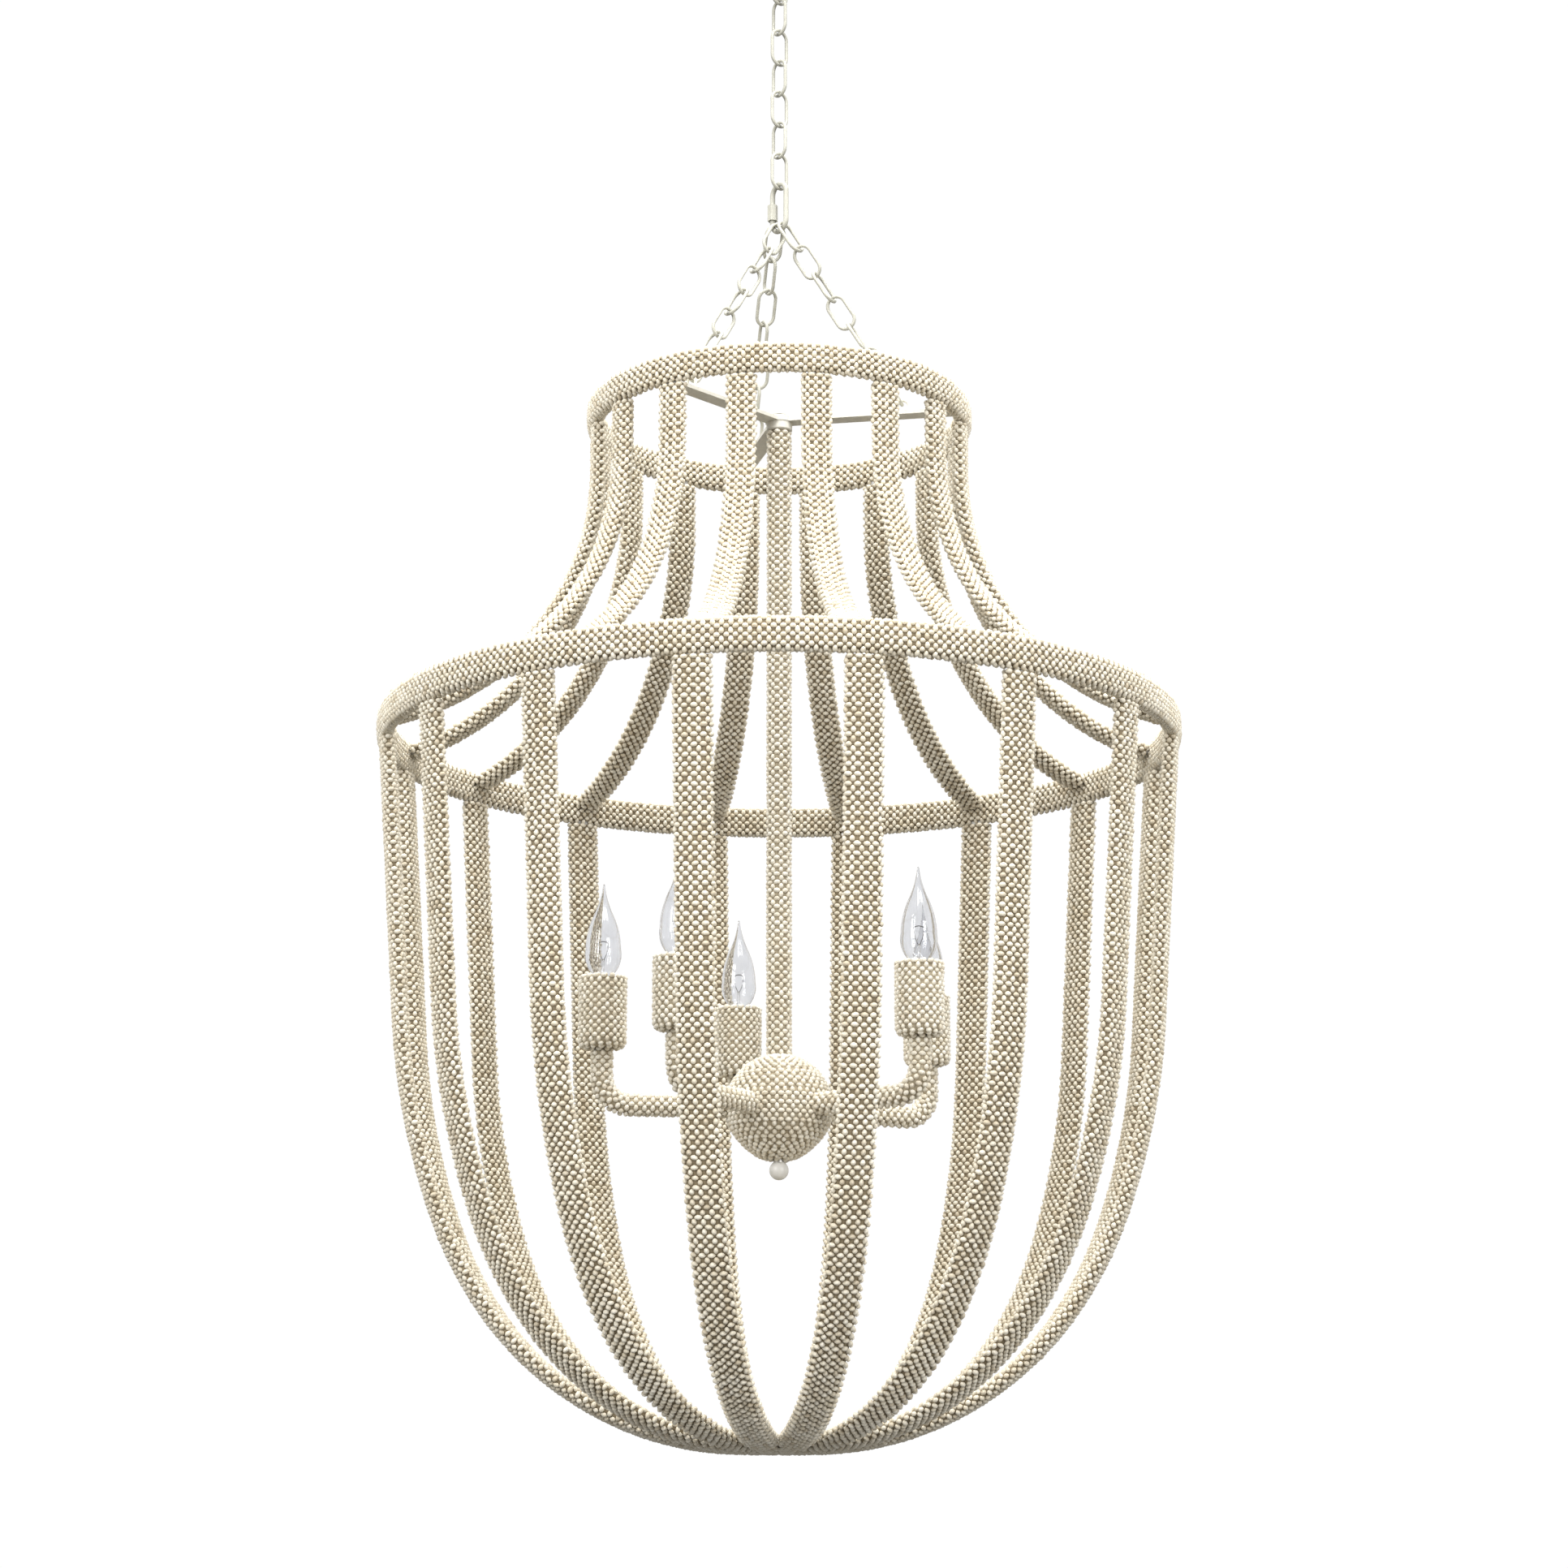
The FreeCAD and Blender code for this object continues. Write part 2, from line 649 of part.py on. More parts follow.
def band(name, radius, height, drop, frame):
    """A beaded ring, hollow round the steel inside it."""
    bottom = upright(-size(f"{drop} + {height} / 2"))
    outer = make("Part::Cylinder", name + "_outer", bottom, Radius=f"{radius} + Size.band_thick / 2", Height=height)
    inner = make("Part::Cylinder", name + "_inner", bottom, Radius=f"{radius} - Size.band_thick / 2", Height=height)
    return minus(name + "_hollow", minus(name + "_band", outer, inner), frame)


def ribs(name, rib):
    """Four nodes of four ribs each, one node to a quarter of the cage."""
    for quadrant, middle in QUADRANTS.items():
        azimuths = [a for a in rib_azimuths() if abs((a - middle + 180) % 360 - 180) < 45]
        group = doc.addObject("Part::Feature", f"{name}_{quadrant}_solids")
        group.Shape = Part.makeCompound([placed(rib, azimuth) for azimuth in azimuths])
        node(group, f"{name}_{quadrant}")


def upper_ribs():
    """The beaded ribs that flare from the top ring to the inner side of the large ring."""
    reach = size("Size.mid_ring_radius")
    under_ring = -size("Size.top_ring_drop + Size.top_ring_height / 2")
    face = flared_band(0, size("Size.rib_thick"), under_ring, reach)
    inside_ring = size("Size.mid_ring_radius - Size.band_thick / 2")
    height = size("Size.mid_ring_drop")
    room = Part.makeCylinder(inside_ring, height, Vector(0, 0, -height - inside_ring))
    rib = thick_slab(face, size("Size.upper_rib_width")).common(room)
    ribs("upper_ribs", rib.cut(upper_bar()))


def lower_ribs():
    """The beaded ribs of the bowl, which meet side by side round the disc in its floor."""
    under_ring = -size("Size.mid_ring_drop + Size.mid_ring_height / 2")
    face = bowl_band(0, size("Size.rib_thick"), under_ring, 0)
    slab = thick_slab(face, size("Size.lower_rib_width"))
    far = size("Size.mid_ring_radius") * 2
    half_angle = math.radians(180 / size("Size.rib_count") - 0.05)
    spread = far * math.tan(half_angle)
    low = floor_height() - 1
    corners = [Vector(0, 0, low), Vector(far, -spread, low), Vector(far, spread, low), Vector(0, 0, low)]
    wedge = Part.Face(Part.makePolygon(corners)).extrude(Vector(0, 0, far))
    ribs("lower_ribs", slab.common(wedge).cut(lower_bar()).cut(foot_disc()))


# ---------------------------------------------------------------- spider and stem


def spider_top():
    return size("Size.spoke_thick / 2 - Size.top_ring_drop")


def spider(frame):
    """Three flat spokes from the hub to the hoop inside the top ring."""
    under = -size("Size.top_ring_drop + Size.spoke_thick / 2")
    pieces = [make("Part::Cylinder", "spider_hub", upright(under), Radius="Size.hub_radius", Height="Size.spoke_thick")]
    for name, azimuth, _ in LEGS:
        turn = turned_to(azimuth)
        corner = turn.multVec(Vector(0, -size("Size.spoke_width / 2"), 0)) + UP * under
        pieces.append(
            make(
                "Part::Box",
                f"spoke_{name}",
                Placement(corner, turn),
                Length="Size.top_ring_radius - Size.bar_thick / 2",
                Width="Size.spoke_width",
                Height="Size.spoke_thick",
            )
        )
    drill = make("Part::Cylinder", "spider_drill", upright(under - 1), Radius=PLAY_HOLE, Height="Size.spoke_thick + 2")
    limit = make(
        "Part::Cylinder",
        "spider_limit",
        upright(under - 1),
        Radius="Size.top_ring_radius - Size.bar_thick / 2",
        Height="Size.spoke_thick + 2",
    )
    trimmed = doc.addObject("Part::Common", "spider_trimmed")
    trimmed.Base = joined("spider_cross", pieces)
    trimmed.Tool = limit
    return node(minus("spider_fitted", minus("spider_drilled", trimmed, drill), frame), "spider_bracket")


def pipe_top():
    """Height of the upper end of the threaded pipe, just above the lock nut."""
    return spider_top() + size("Size.locknut_height + Size.pipe_proud")


def ball(name, radius):
    """A sphere in the middle of the arm cluster."""
    return make("Part::Sphere", name, upright(-size("Size.ball_drop")), Radius=radius)


def stem():
    """Lock nut, cord bushing, collar, threaded pipe and the beaded sleeve round it."""
    nut = hexagon(
        "stem_nut", "Size.locknut_height", "Size.locknut_radius", "Size.pipe_radius", upright(spider_top())
    )
    node(nut, "stem_locknut")
    cord_way = "Size.pipe_bore - 1"
    plug = "Size.pipe_bore - Size.pipe_play"
    top = "Size.bushing_plug + Size.bushing_height"
    bushing = turned(
        "bushing_body",
        [
            (cord_way, "0"),
            (plug, "0"),
            (plug, "Size.bushing_plug"),
            ("Size.bushing_radius", "Size.bushing_plug"),
            ("Size.bushing_radius", "Size.bushing_plug + Size.bushing_height / 2"),
            ("Size.bushing_radius - 2.4", top),
            (cord_way, top),
        ],
        upright(pipe_top() - size("Size.bushing_plug")),
    )
    node(bushing, "cord_bushing")

    length = "Size.finial_drop - Size.top_ring_drop + Size.spoke_thick / 2 + Size.locknut_height + Size.pipe_proud"
    pipe = turned(
        "pipe_body",
        [
            ("Size.pipe_bore", "0"),
            ("Size.pipe_radius", "0"),
            ("Size.pipe_radius", length),
            ("Size.pipe_bore", length),
        ],
        upright(-size("Size.finial_drop")),
    )
    node(pipe, "stem_pipe")

    under = -size("Size.top_ring_drop + Size.spoke_thick / 2 + Size.stem_collar_height")
    outline = [
        (PLAY_HOLE, "0"),
        ("Size.stem_radius - 1", "0"),
        ("Size.stem_radius", "1"),
        ("Size.stem_radius", "Size.stem_collar_height"),
        (PLAY_HOLE, "Size.stem_collar_height"),
    ]
    node(turned("collar_body", outline, upright(under)), "stem_collar")

    sleeve_length = "Size.ball_drop - Size.top_ring_drop - Size.spoke_thick / 2 - Size.stem_collar_height"
    start = upright(-size("Size.ball_drop"))
    outer = make("Part::Cylinder", "stem_outer", start, Radius="Size.stem_radius", Height=sleeve_length)
    bore = make("Part::Cylinder", "stem_bore", start, Radius=PLAY_HOLE, Height=sleeve_length)
    hollow = minus("stem_hollow", outer, bore)
    node(minus("stem_trimmed", hollow, ball("stem_trim", "Size.ball_radius")), "stem_sleeve")


# ---------------------------------------------------------------- arms, cups and bulbs


def cup_floor():
    """Height of the underside of the candle cups."""
    return -size("Size.cup_rim_drop + Size.cup_height")


def arm_run(name, azimuth, radius, start, top):
    """A rod that leaves the ball level and turns up through the elbow under its cup."""
    turn = turned_to(azimuth)
    level = -size("Size.ball_drop")
    reach = size("Size.arm_reach")
    bend = size("Size.elbow_radius")
    out = direction(azimuth)
    lying = turn * Rotation(Vector(0, 1, 0), 90)
    straight = make(
        "Part::Cylinder",
        name + "_level",
        Placement(out * start + UP * level, lying),
        Radius=radius,
        Height=f"Size.arm_reach - Size.elbow_radius - {start}",
    )
    centre = out * (reach - bend) + UP * (level + bend)
    elbow = make(
        "Part::Torus",
        name + "_elbow",
        Placement(centre, turn * Rotation(X_AXIS, 90) * Rotation(UP, -90)),
        Radius1="Size.elbow_radius",
        Radius2=radius,
    )
    elbow.Angle3 = 90
    foot = level + bend
    riser = make(
        "Part::Cylinder",
        name + "_riser",
        Placement(out * reach + UP * foot, Rotation()),
        Radius=radius,
        Height=f"{top - foot:.4f}",
    )
    return joined(name, [straight, elbow, riser])


def arm_cluster():
    """The steel ball with its five tubes, the beads round both, and the finial."""
    tube_top = cup_floor() + size("Size.cup_wall + Size.socket_thread")
    tubes = []
    ways = []
    sleeves = []
    clearances = []
    for index, azimuth in enumerate(ARM_AZIMUTHS, start=1):
        tubes.append(arm_run(f"tube_{index}", azimuth, "Size.tube_radius", 20, tube_top))
        ways.append(arm_run(f"wire_way_{index}", azimuth, "Size.tube_bore", 8, tube_top))
        outer = arm_run(f"arm_{index}", azimuth, "Size.arm_radius", 20, cup_floor())
        room = arm_run(f"arm_room_{index}", azimuth, "Size.tube_radius + Size.pipe_play", 20, tube_top)
        clearances.append(room)
        trim = ball(f"arm_trim_{index}", "Size.ball_radius")
        sleeves.append(minus(f"arm_hollow_{index}", minus(f"arm_end_{index}", outer, trim), room))
    start = upright(-size("Size.ball_drop + Size.ball_radius + 5"))
    drill = make("Part::Cylinder", "core_drill", start, Radius=PLAY_HOLE, Height="2 * Size.ball_radius + 10")
    core = joined("core_and_tubes", [ball("core_ball", "Size.core_radius")] + tubes)
    node(minus("core_drilled", core, grouped("core_ways", ways + [drill])), "arm_cluster_core")
    node(grouped("arm_sleeve_solids", sleeves), "arm_sleeves")
    shell = minus("ball_shell", ball("ball_outer", "Size.ball_radius"), ball("ball_inner", "Size.core_radius"))
    holes = grouped("ball_holes", clearances + [drill])
    node(minus("ball_drilled", shell, holes), "ball_sleeve")

    knob = make("Part::Sphere", "finial_ball", upright(-size("Size.finial_drop")), Radius="Size.finial_radius")
    pocket = make(
        "Part::Cylinder",
        "finial_pocket",
        upright(-size("Size.finial_drop")),
        Radius="Size.pipe_radius",
        Height="Size.finial_radius + 1",
    )
    trimmed = minus("finial_trimmed", knob, ball("finial_trim", "Size.ball_radius"))
    node(minus("finial_solid", trimmed, pocket), "finial")


def candle_lights():
    """Five cups on the ends of the arms, with their lampholders and bulbs."""
    tube_hole = "Size.tube_radius + Size.pipe_play"
    inner = "Size.cup_radius - Size.cup_wall"
    contact = "Size.socket_height - Size.cap_length - Size.cap_tip"
    sockets = []
    for index, azimuth in enumerate(ARM_AZIMUTHS, start=1):
        spot = direction(azimuth) * size("Size.arm_reach")
        cup = turned(
            f"cup_{index}",
            [
                (tube_hole, "0"),
                ("Size.cup_radius - Size.cup_chamfer", "0"),
                ("Size.cup_radius", "Size.cup_chamfer"),
                ("Size.cup_radius", "Size.cup_height"),
                (inner, "Size.cup_height"),
                (inner, "Size.cup_wall"),
                (tube_hole, "Size.cup_wall"),
            ],
            Placement(spot + UP * cup_floor(), Rotation()),
        )
        node(cup, f"candle_cup_{index}")
        seat = spot + UP * (cup_floor() + size("Size.cup_wall"))
        sockets.append(
            turned(
                f"socket_{index}",
                [
                    (tube_hole, "0"),
                    ("Size.socket_radius", "0"),
                    ("Size.socket_radius", "Size.socket_height"),
                    ("Size.socket_bore", "Size.socket_height"),
                    ("Size.socket_bore", contact),
                    ("0", contact),
                    ("0", "Size.socket_thread"),
                    (tube_hole, "Size.socket_thread"),
                ],
                Placement(seat, Rotation()),
            )
        )
        bulb(index, seat + UP * size("Size.socket_height + Size.cap_seat"))
    node(grouped("socket_set", sockets), "sockets")


def bulb(index, seat):
    """A candle bulb standing on a point: screw cap, flame-shaped glass and the stem inside."""
    cap = turned(
        f"cap_{index}",
        [
            ("0", "0"),
            ("Size.cap_tip", "0"),
            ("Size.cap_radius", "Size.cap_length / 4"),
            ("Size.cap_radius", "Size.cap_length"),
            ("0", "Size.cap_length"),
        ],
        Placement(seat - UP * size("Size.cap_length"), Rotation()),
    )
    node(cap, f"bulb_{index}_cap")
    wall = size("Size.bulb_wall")
    glass = doc.addObject("Part::Feature", f"glass_{index}")
    glass.Shape = flame(0, 0).cut(flame(wall, wall))
    glass.Placement = Placement(seat, Rotation())
    node(glass, f"bulb_{index}_glass")
    mount = turned(
        f"mount_{index}",
        [
            ("0", "0"),
            ("Size.bulb_neck - 2 * Size.bulb_wall", "0"),
            ("1.8", "Size.bulb_mount_height * 0.4"),
            ("1.4", "Size.bulb_mount_height * 0.6"),
            ("0.6", "Size.bulb_mount_height"),
            ("0", "Size.bulb_mount_height"),
        ],
        Placement(seat, Rotation()),
    )
    node(mount, f"bulb_{index}_mount")


def flame(inset, tip_inset):
    """The solid inside a bulb's outline, drawn in by an inset except at its open neck."""
    widest = size("Size.bulb_radius") - inset
    tall = size("Size.bulb_length") - tip_inset
    neck = size("Size.bulb_neck") - inset

    def at(radius_share, height_share):
        return Vector(widest * radius_share, 0, tall * height_share)

    foot = Vector(neck, 0, 0)
    belly = at(1, 0.30)
    shoulder = at(0.53, 0.67)
    tip = at(0.05, 0.99)
    edges = [
        Part.makeLine(Vector(0, 0, 0), foot),
        Part.Arc(foot, at(0.86, 0.11), belly).toShape(),
        Part.Arc(belly, at(0.86, 0.50), shoulder).toShape(),
        Part.Arc(shoulder, at(0.20, 0.84), tip).toShape(),
        Part.makeLine(tip, Vector(0, 0, tall)),
        Part.makeLine(Vector(0, 0, tall), Vector(0, 0, 0)),
    ]
    return Part.Face(Part.Wire(edges)).revolve(Vector(0, 0, 0), UP, 360)


# ---------------------------------------------------------------- whole lantern


def check_document():
    """Stop on any failed object or empty shape."""
    for thing in doc.Objects:
        if "Invalid" in thing.State or "Error" in thing.State:
            raise RuntimeError(f"{thing.Name} failed: {thing.State}")
    labels = [thing.Label for thing in NODES]
    if len(set(labels)) != len(labels):
        raise RuntimeError("two sub-parts share a name")
    for thing in NODES:
        if thing.Shape.isNull() or not thing.Shape.isValid() or not thing.Shape.Solids:
            raise RuntimeError(f"{thing.Label} has no valid solid")


def write_parts():
    os.makedirs("parts", exist_ok=True)
    for thing in NODES:
        thing.Shape.exportStep(os.path.join("parts", thing.Label + ".step"))
        box = thing.Shape.BoundBox
        print(
            f"{thing.Label:22s} {len(thing.Shape.Solids):3d} solids {thing.Shape.Volume:12.0f} mm3 "
            f"z {box.ZMin:9.1f} to {box.ZMax:9.1f}"
        )


def build():
    ceiling_fittings()
    main_chain()
    quick_link()
    eyes = [leg_chain(*leg) for leg in LEGS]
    node(grouped("spider_eye_set", eyes), "spider_eyes")
    frame = cage_frame()
    bracket = spider(frame)
    stem()
    arm_cluster()
    candle_lights()
    top = band("top_ring", "Size.top_ring_radius", "Size.top_ring_height", "Size.top_ring_drop", frame)
    node(minus("top_ring_slotted", top, bracket), "top_ring_sleeve")
    large = band("mid_ring", "Size.mid_ring_radius", "Size.mid_ring_height", "Size.mid_ring_drop", frame)
    node(large, "large_ring_sleeve")
    upper_ribs()
    lower_ribs()
    doc.recompute()
    check_document()
    write_parts()


build()
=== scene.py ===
import json
import math

import bmesh
import bpy
import numpy as np
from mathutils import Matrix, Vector


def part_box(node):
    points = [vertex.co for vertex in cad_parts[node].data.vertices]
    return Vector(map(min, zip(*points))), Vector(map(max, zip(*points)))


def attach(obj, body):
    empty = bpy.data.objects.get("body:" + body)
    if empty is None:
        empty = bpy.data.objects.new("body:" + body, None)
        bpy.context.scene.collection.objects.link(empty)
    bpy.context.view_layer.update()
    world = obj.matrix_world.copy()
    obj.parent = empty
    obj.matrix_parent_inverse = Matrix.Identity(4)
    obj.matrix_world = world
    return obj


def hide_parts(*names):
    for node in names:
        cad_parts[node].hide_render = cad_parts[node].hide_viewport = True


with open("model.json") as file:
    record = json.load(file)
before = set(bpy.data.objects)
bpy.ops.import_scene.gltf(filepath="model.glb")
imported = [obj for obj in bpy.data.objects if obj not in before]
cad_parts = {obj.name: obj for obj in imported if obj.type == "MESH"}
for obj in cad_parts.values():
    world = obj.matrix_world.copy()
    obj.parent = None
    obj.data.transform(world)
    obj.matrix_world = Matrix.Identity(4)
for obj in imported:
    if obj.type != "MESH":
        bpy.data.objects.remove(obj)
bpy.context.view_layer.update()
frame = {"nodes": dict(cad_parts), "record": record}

RNG = np.random.default_rng(20)
MM = 0.001
UP = np.array([0.0, 0.0, 1.0])

# ------------------------------------------------------------------ sizes


def low(name):
    """Lowest corner of a node's box."""
    return np.array(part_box(name)[0])


def high(name):
    """Highest corner of a node's box."""
    return np.array(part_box(name)[1])


# net of beads: one square of it, a bead's radius, its half length, and how deep the core lies under its
# middle
CELL = 7.6 * MM
LOWER_CELL = 8.1 * MM
BEAD = 2.25 * MM
CROSS_HALF_LENGTH = 3.2 * MM
ALONG_HALF_LENGTH = 2.8 * MM
UNDER_BEADS = 0.9 * MM
SKIN_SIDES = 16

# how much single beads differ: standard deviations, and the limits of a bead's share of the plain size
TILT_SPREAD = 0.09
PLACE_SPREAD = 0.13 * MM
GIRTH_SPREAD, GIRTH_RANGE = 0.035, (0.9, 1.07)
LENGTH_SPREAD, LENGTH_RANGE = 0.06, (0.86, 1.12)

# empty edge of a bead's square in the map for baking, as a share of the square
MAP_MARGIN = 0.06

# ribs, the same strips as in the CAD model
RIBS = 16
HALF_THICK = 7.5 * MM
UPPER_WIDTH = 29 * MM
LOWER_WIDTH = 35 * MM
RIB_SQUARENESS = 2.5
BAR_PLAY = 1.5 * MM
WEDGE_PLAY = 1.2 * MM
RIB_END_PLAY = 0.8 * MM
RIB_STATION = 9 * MM
FEWEST_RIB_STATIONS = 24
FLOOR_PLAY, LEAST_FLOOR_WIDTH = 0.05 * MM, 0.02 * MM
UPPER_RIB_RADIUS, FLARE_Z, FLARE_CURVE = 179 * MM, -580 * MM, 245 * MM
LOWER_RIB_RADIUS, LOWER_LEAN, BOWL_Z = 366.7 * MM, math.radians(4.2), -1097 * MM
# the bowl's curves: radius, and the lean in degrees at which each one ends
BOWL_CURVES = ((620 * MM, 21), (340 * MM, 36), (290 * MM, 90))

# rings
BAND = 16 * MM
RING_SQUARENESS = 3.2
RING_STATIONS = 180
TOP_RING_HIGH, TOP_RING_LOW = high("top_ring_sleeve")[2], low("top_ring_sleeve")[2]
TOP_RING_OUT = high("top_ring_sleeve")[0]
MID_RING_HIGH, MID_RING_LOW = high("large_ring_sleeve")[2], low("large_ring_sleeve")[2]
MID_RING_OUT = high("large_ring_sleeve")[0]

# stem, ball and arms
STEM_RADIUS = high("stem_sleeve")[0]
STEM_LAP = 2 * MM
BALL_RADIUS = high("ball_sleeve")[0]
BALL_Z = (low("ball_sleeve")[2] + high("ball_sleeve")[2]) / 2
BALL_DRAWN_IN, BALL_DRAWN_FROM = 0.07, 110
BALL_NET_FROM, BALL_NET_TO = math.radians(14), math.radians(171)
ROW_SLACK, ROW_BIAS = 0.12, 0.09
ARM_AZIMUTHS = [-81, -33, 50, 121, 194]
ARM_RADIUS = 10.8 * MM
ARM_REACH = 160 * MM
ARM_START = 0.93 * BALL_RADIUS
ELBOW = 24 * MM
ROD_STATION = 5 * MM

# cups
CUP_RADIUS = (high("candle_cup_1")[1] - low("candle_cup_1")[1]) / 2
CUP_FLOOR, CUP_RIM = low("candle_cup_1")[2], high("candle_cup_1")[2]
CUP_WALL = 3.2 * MM
CUP_CHAMFER = 5 * MM
CUP_INSIDE_ROWS = 5
CUP_CORE_WALL = 2 * MM
CUP_CORE_HOLE = 5.4 * MM
CUP_CORE_FLOOR = 2.5 * MM

# inside of a bulb: the glass stem as shares of its height with radii, and the wires
GLASS_STEM = ((0, 3.6 * MM), (0.06, 2.6 * MM), (0.2, 1.5 * MM), (0.36, 1.5 * MM), (0.42, 1.1 * MM))
LEAD_SPREAD, LEAD_RADIUS = 4.6 * MM, 0.28 * MM
LEAD_TOP = 0.78
COIL_TURNS, COIL_POINTS = 15, 240
COIL_RADIUS, COIL_ARCH, COIL_WIRE = 0.45 * MM, 1.6 * MM, 0.16 * MM


def out_dir(azimuth):
    """Level direction at an azimuth in degrees, counted from the front towards +X."""
    a = math.radians(azimuth)
    return np.array([math.sin(a), -math.cos(a), 0.0])


def level_circle(count, shift=0.0):
    """Level directions evenly round the axis, turned by a share of one step."""
    a = (np.arange(count) + shift) / count * 2 * math.pi
    return np.stack([np.cos(a), np.sin(a), 0 * a], axis=1)


# ------------------------------------------------------------------ bead template


def octahedral_bead():
    """A ball of 18 points and 32 triangles, with a flat map of its own for baking."""
    points, where, faces, maps = [], {}, [], []

    def add(p):
        key = tuple(round(c, 6) for c in p)
        if key not in where:
            where[key] = len(points)
            points.append(np.array(p, float))
        return where[key]

    for sx in (1, -1):
        for sy in (1, -1):
            for sz in (1, -1):
                a, b, c = np.array([sx, 0, 0.0]), np.array([0, sy, 0.0]), np.array([0, 0, float(sz)])
                if sx * sy * sz < 0:
                    a, b = b, a
                ab, bc, ca = (a + b) / 2, (b + c) / 2, (c + a) / 2
                for tri in ((a, ab, ca), (ab, b, bc), (ca, bc, c), (ab, bc, ca)):
                    faces.append([add(p) for p in tri])
                    for p in tri:
                        x, y = p[0], p[1]
                        if sz < 0:
                            x, y = (1 - abs(p[1])) * sx, (1 - abs(p[0])) * sy
                        maps.append((x * 0.5 + 0.5, y * 0.5 + 0.5))
    ball = np.array([p / np.linalg.norm(p) for p in points])
    return ball, np.array(faces), np.array(maps)


BALL, BALL_FACES, BALL_MAP = octahedral_bead()


def unit(v):
    """Vectors scaled to length 1."""
    return v / np.maximum(np.linalg.norm(v, axis=-1, keepdims=True), 1e-12)


def mesh_object(name, points, faces):
    """A mesh object from arrays of points and of faces with one corner count."""
    me = bpy.data.meshes.new(name)
    faces = np.asarray(faces, np.int32)
    sides = faces.shape[1]
    me.vertices.add(len(points))
    me.vertices.foreach_set("co", np.asarray(points, np.float32).ravel())
    me.loops.add(faces.size)
    me.loops.foreach_set("vertex_index", faces.ravel())
    me.polygons.add(len(faces))
    me.polygons.foreach_set("loop_start", np.arange(0, faces.size, sides, dtype=np.int32))
    me.polygons.foreach_set("use_smooth", np.full(len(faces), True))
    me.update(calc_edges=True)
    me.validate()
    ob = bpy.data.objects.new(name, me)
    bpy.context.scene.collection.objects.link(ob)
    return ob


def beads_object(name, beads, material):
    """One mesh of separate closed beads.

    beads holds rows of (centre, thread direction, outward, half length)."""
    centre = np.concatenate([b[0] for b in beads])
    axis = unit(np.concatenate([b[1] for b in beads]))
    outward = np.concatenate([b[2] for b in beads])
    half_length = np.concatenate([np.full(len(b[0]), b[3]) for b in beads])
    count = len(centre)
    outward = unit(outward - axis * np.sum(axis * outward, axis=1, keepdims=True))
    side = np.cross(outward, axis)
    tilt = RNG.normal(0, TILT_SPREAD, (count, 2))
    axis = unit(axis + side * tilt[:, :1] + outward * tilt[:, 1:])
    outward = unit(outward - axis * np.sum(axis * outward, axis=1, keepdims=True))
    side = np.cross(outward, axis)
    centre = centre + RNG.normal(0, PLACE_SPREAD, (count, 3))
    girth = BEAD * RNG.normal(1, GIRTH_SPREAD, count).clip(*GIRTH_RANGE)
    length = half_length * RNG.normal(1, LENGTH_SPREAD, count).clip(*LENGTH_RANGE)
    co = (
        centre[:, None, :]
        + axis[:, None, :] * (BALL[None, :, 0:1] * length[:, None, None])
        + side[:, None, :] * (BALL[None, :, 1:2] * girth[:, None, None])
        + outward[:, None, :] * (BALL[None, :, 2:3] * girth[:, None, None])
    )
    faces = BALL_FACES[None] + (np.arange(count) * len(BALL))[:, None, None]
    ob = mesh_object(name, co.reshape(-1, 3), faces.reshape(-1, 3))
    me = ob.data
    across = math.ceil(math.sqrt(count))
    cell = np.stack([np.arange(count) % across, np.arange(count) // across], axis=1)
    flat = (cell[:, None, :] + MAP_MARGIN + (1 - 2 * MAP_MARGIN) * BALL_MAP[None]) / across
    layer = me.uv_layers.new(name="OFBake")
    layer.data.foreach_set("uv", flat.astype(np.float32).ravel())
    tint = me.attributes.new("tint", "FLOAT", "POINT")
    tint.data.foreach_set("value", np.repeat(RNG.random(count), len(BALL)).astype(np.float32))
    me.materials.append(material)
    return ob


# ------------------------------------------------------------------ nets of beads


OUTLINE_POINTS = 721


def superellipse(half_wide, half_thick, power):
    """The outline across a strip: points and outward normals by share of its length.

    It starts in the middle of the outer face, whose normal is +thickness. A power of 2 is an ellipse, and
    higher ones are nearer a rectangle."""
    t = np.linspace(0, 2 * math.pi, OUTLINE_POINTS)
    x = half_wide * np.sign(np.sin(t)) * np.abs(np.sin(t)) ** (2 / power)
    y = half_thick * np.sign(np.cos(t)) * np.abs(np.cos(t)) ** (2 / power)
    walked = np.concatenate([[0], np.cumsum(np.hypot(np.diff(x), np.diff(y)))])
    dx, dy = np.gradient(x, walked), np.gradient(y, walked)

    def at(share):
        s = (np.asarray(share, float) % 1.0) * walked[-1]
        px, py = np.interp(s, walked, x), np.interp(s, walked, y)
        nx, ny = -np.interp(s, walked, dy), np.interp(s, walked, dx)
        size = np.hypot(nx, ny)
        return px, py, nx / size, ny / size

    return at


def strip_loops(half_wide, half_thick, power):
    """The outlines across a strip that its beads' middles and its core lie on."""
    under = BEAD + UNDER_BEADS
    return (
        superellipse(half_wide - BEAD, half_thick - BEAD, power),
        superellipse(half_wide - under, half_thick - under, power),
    )


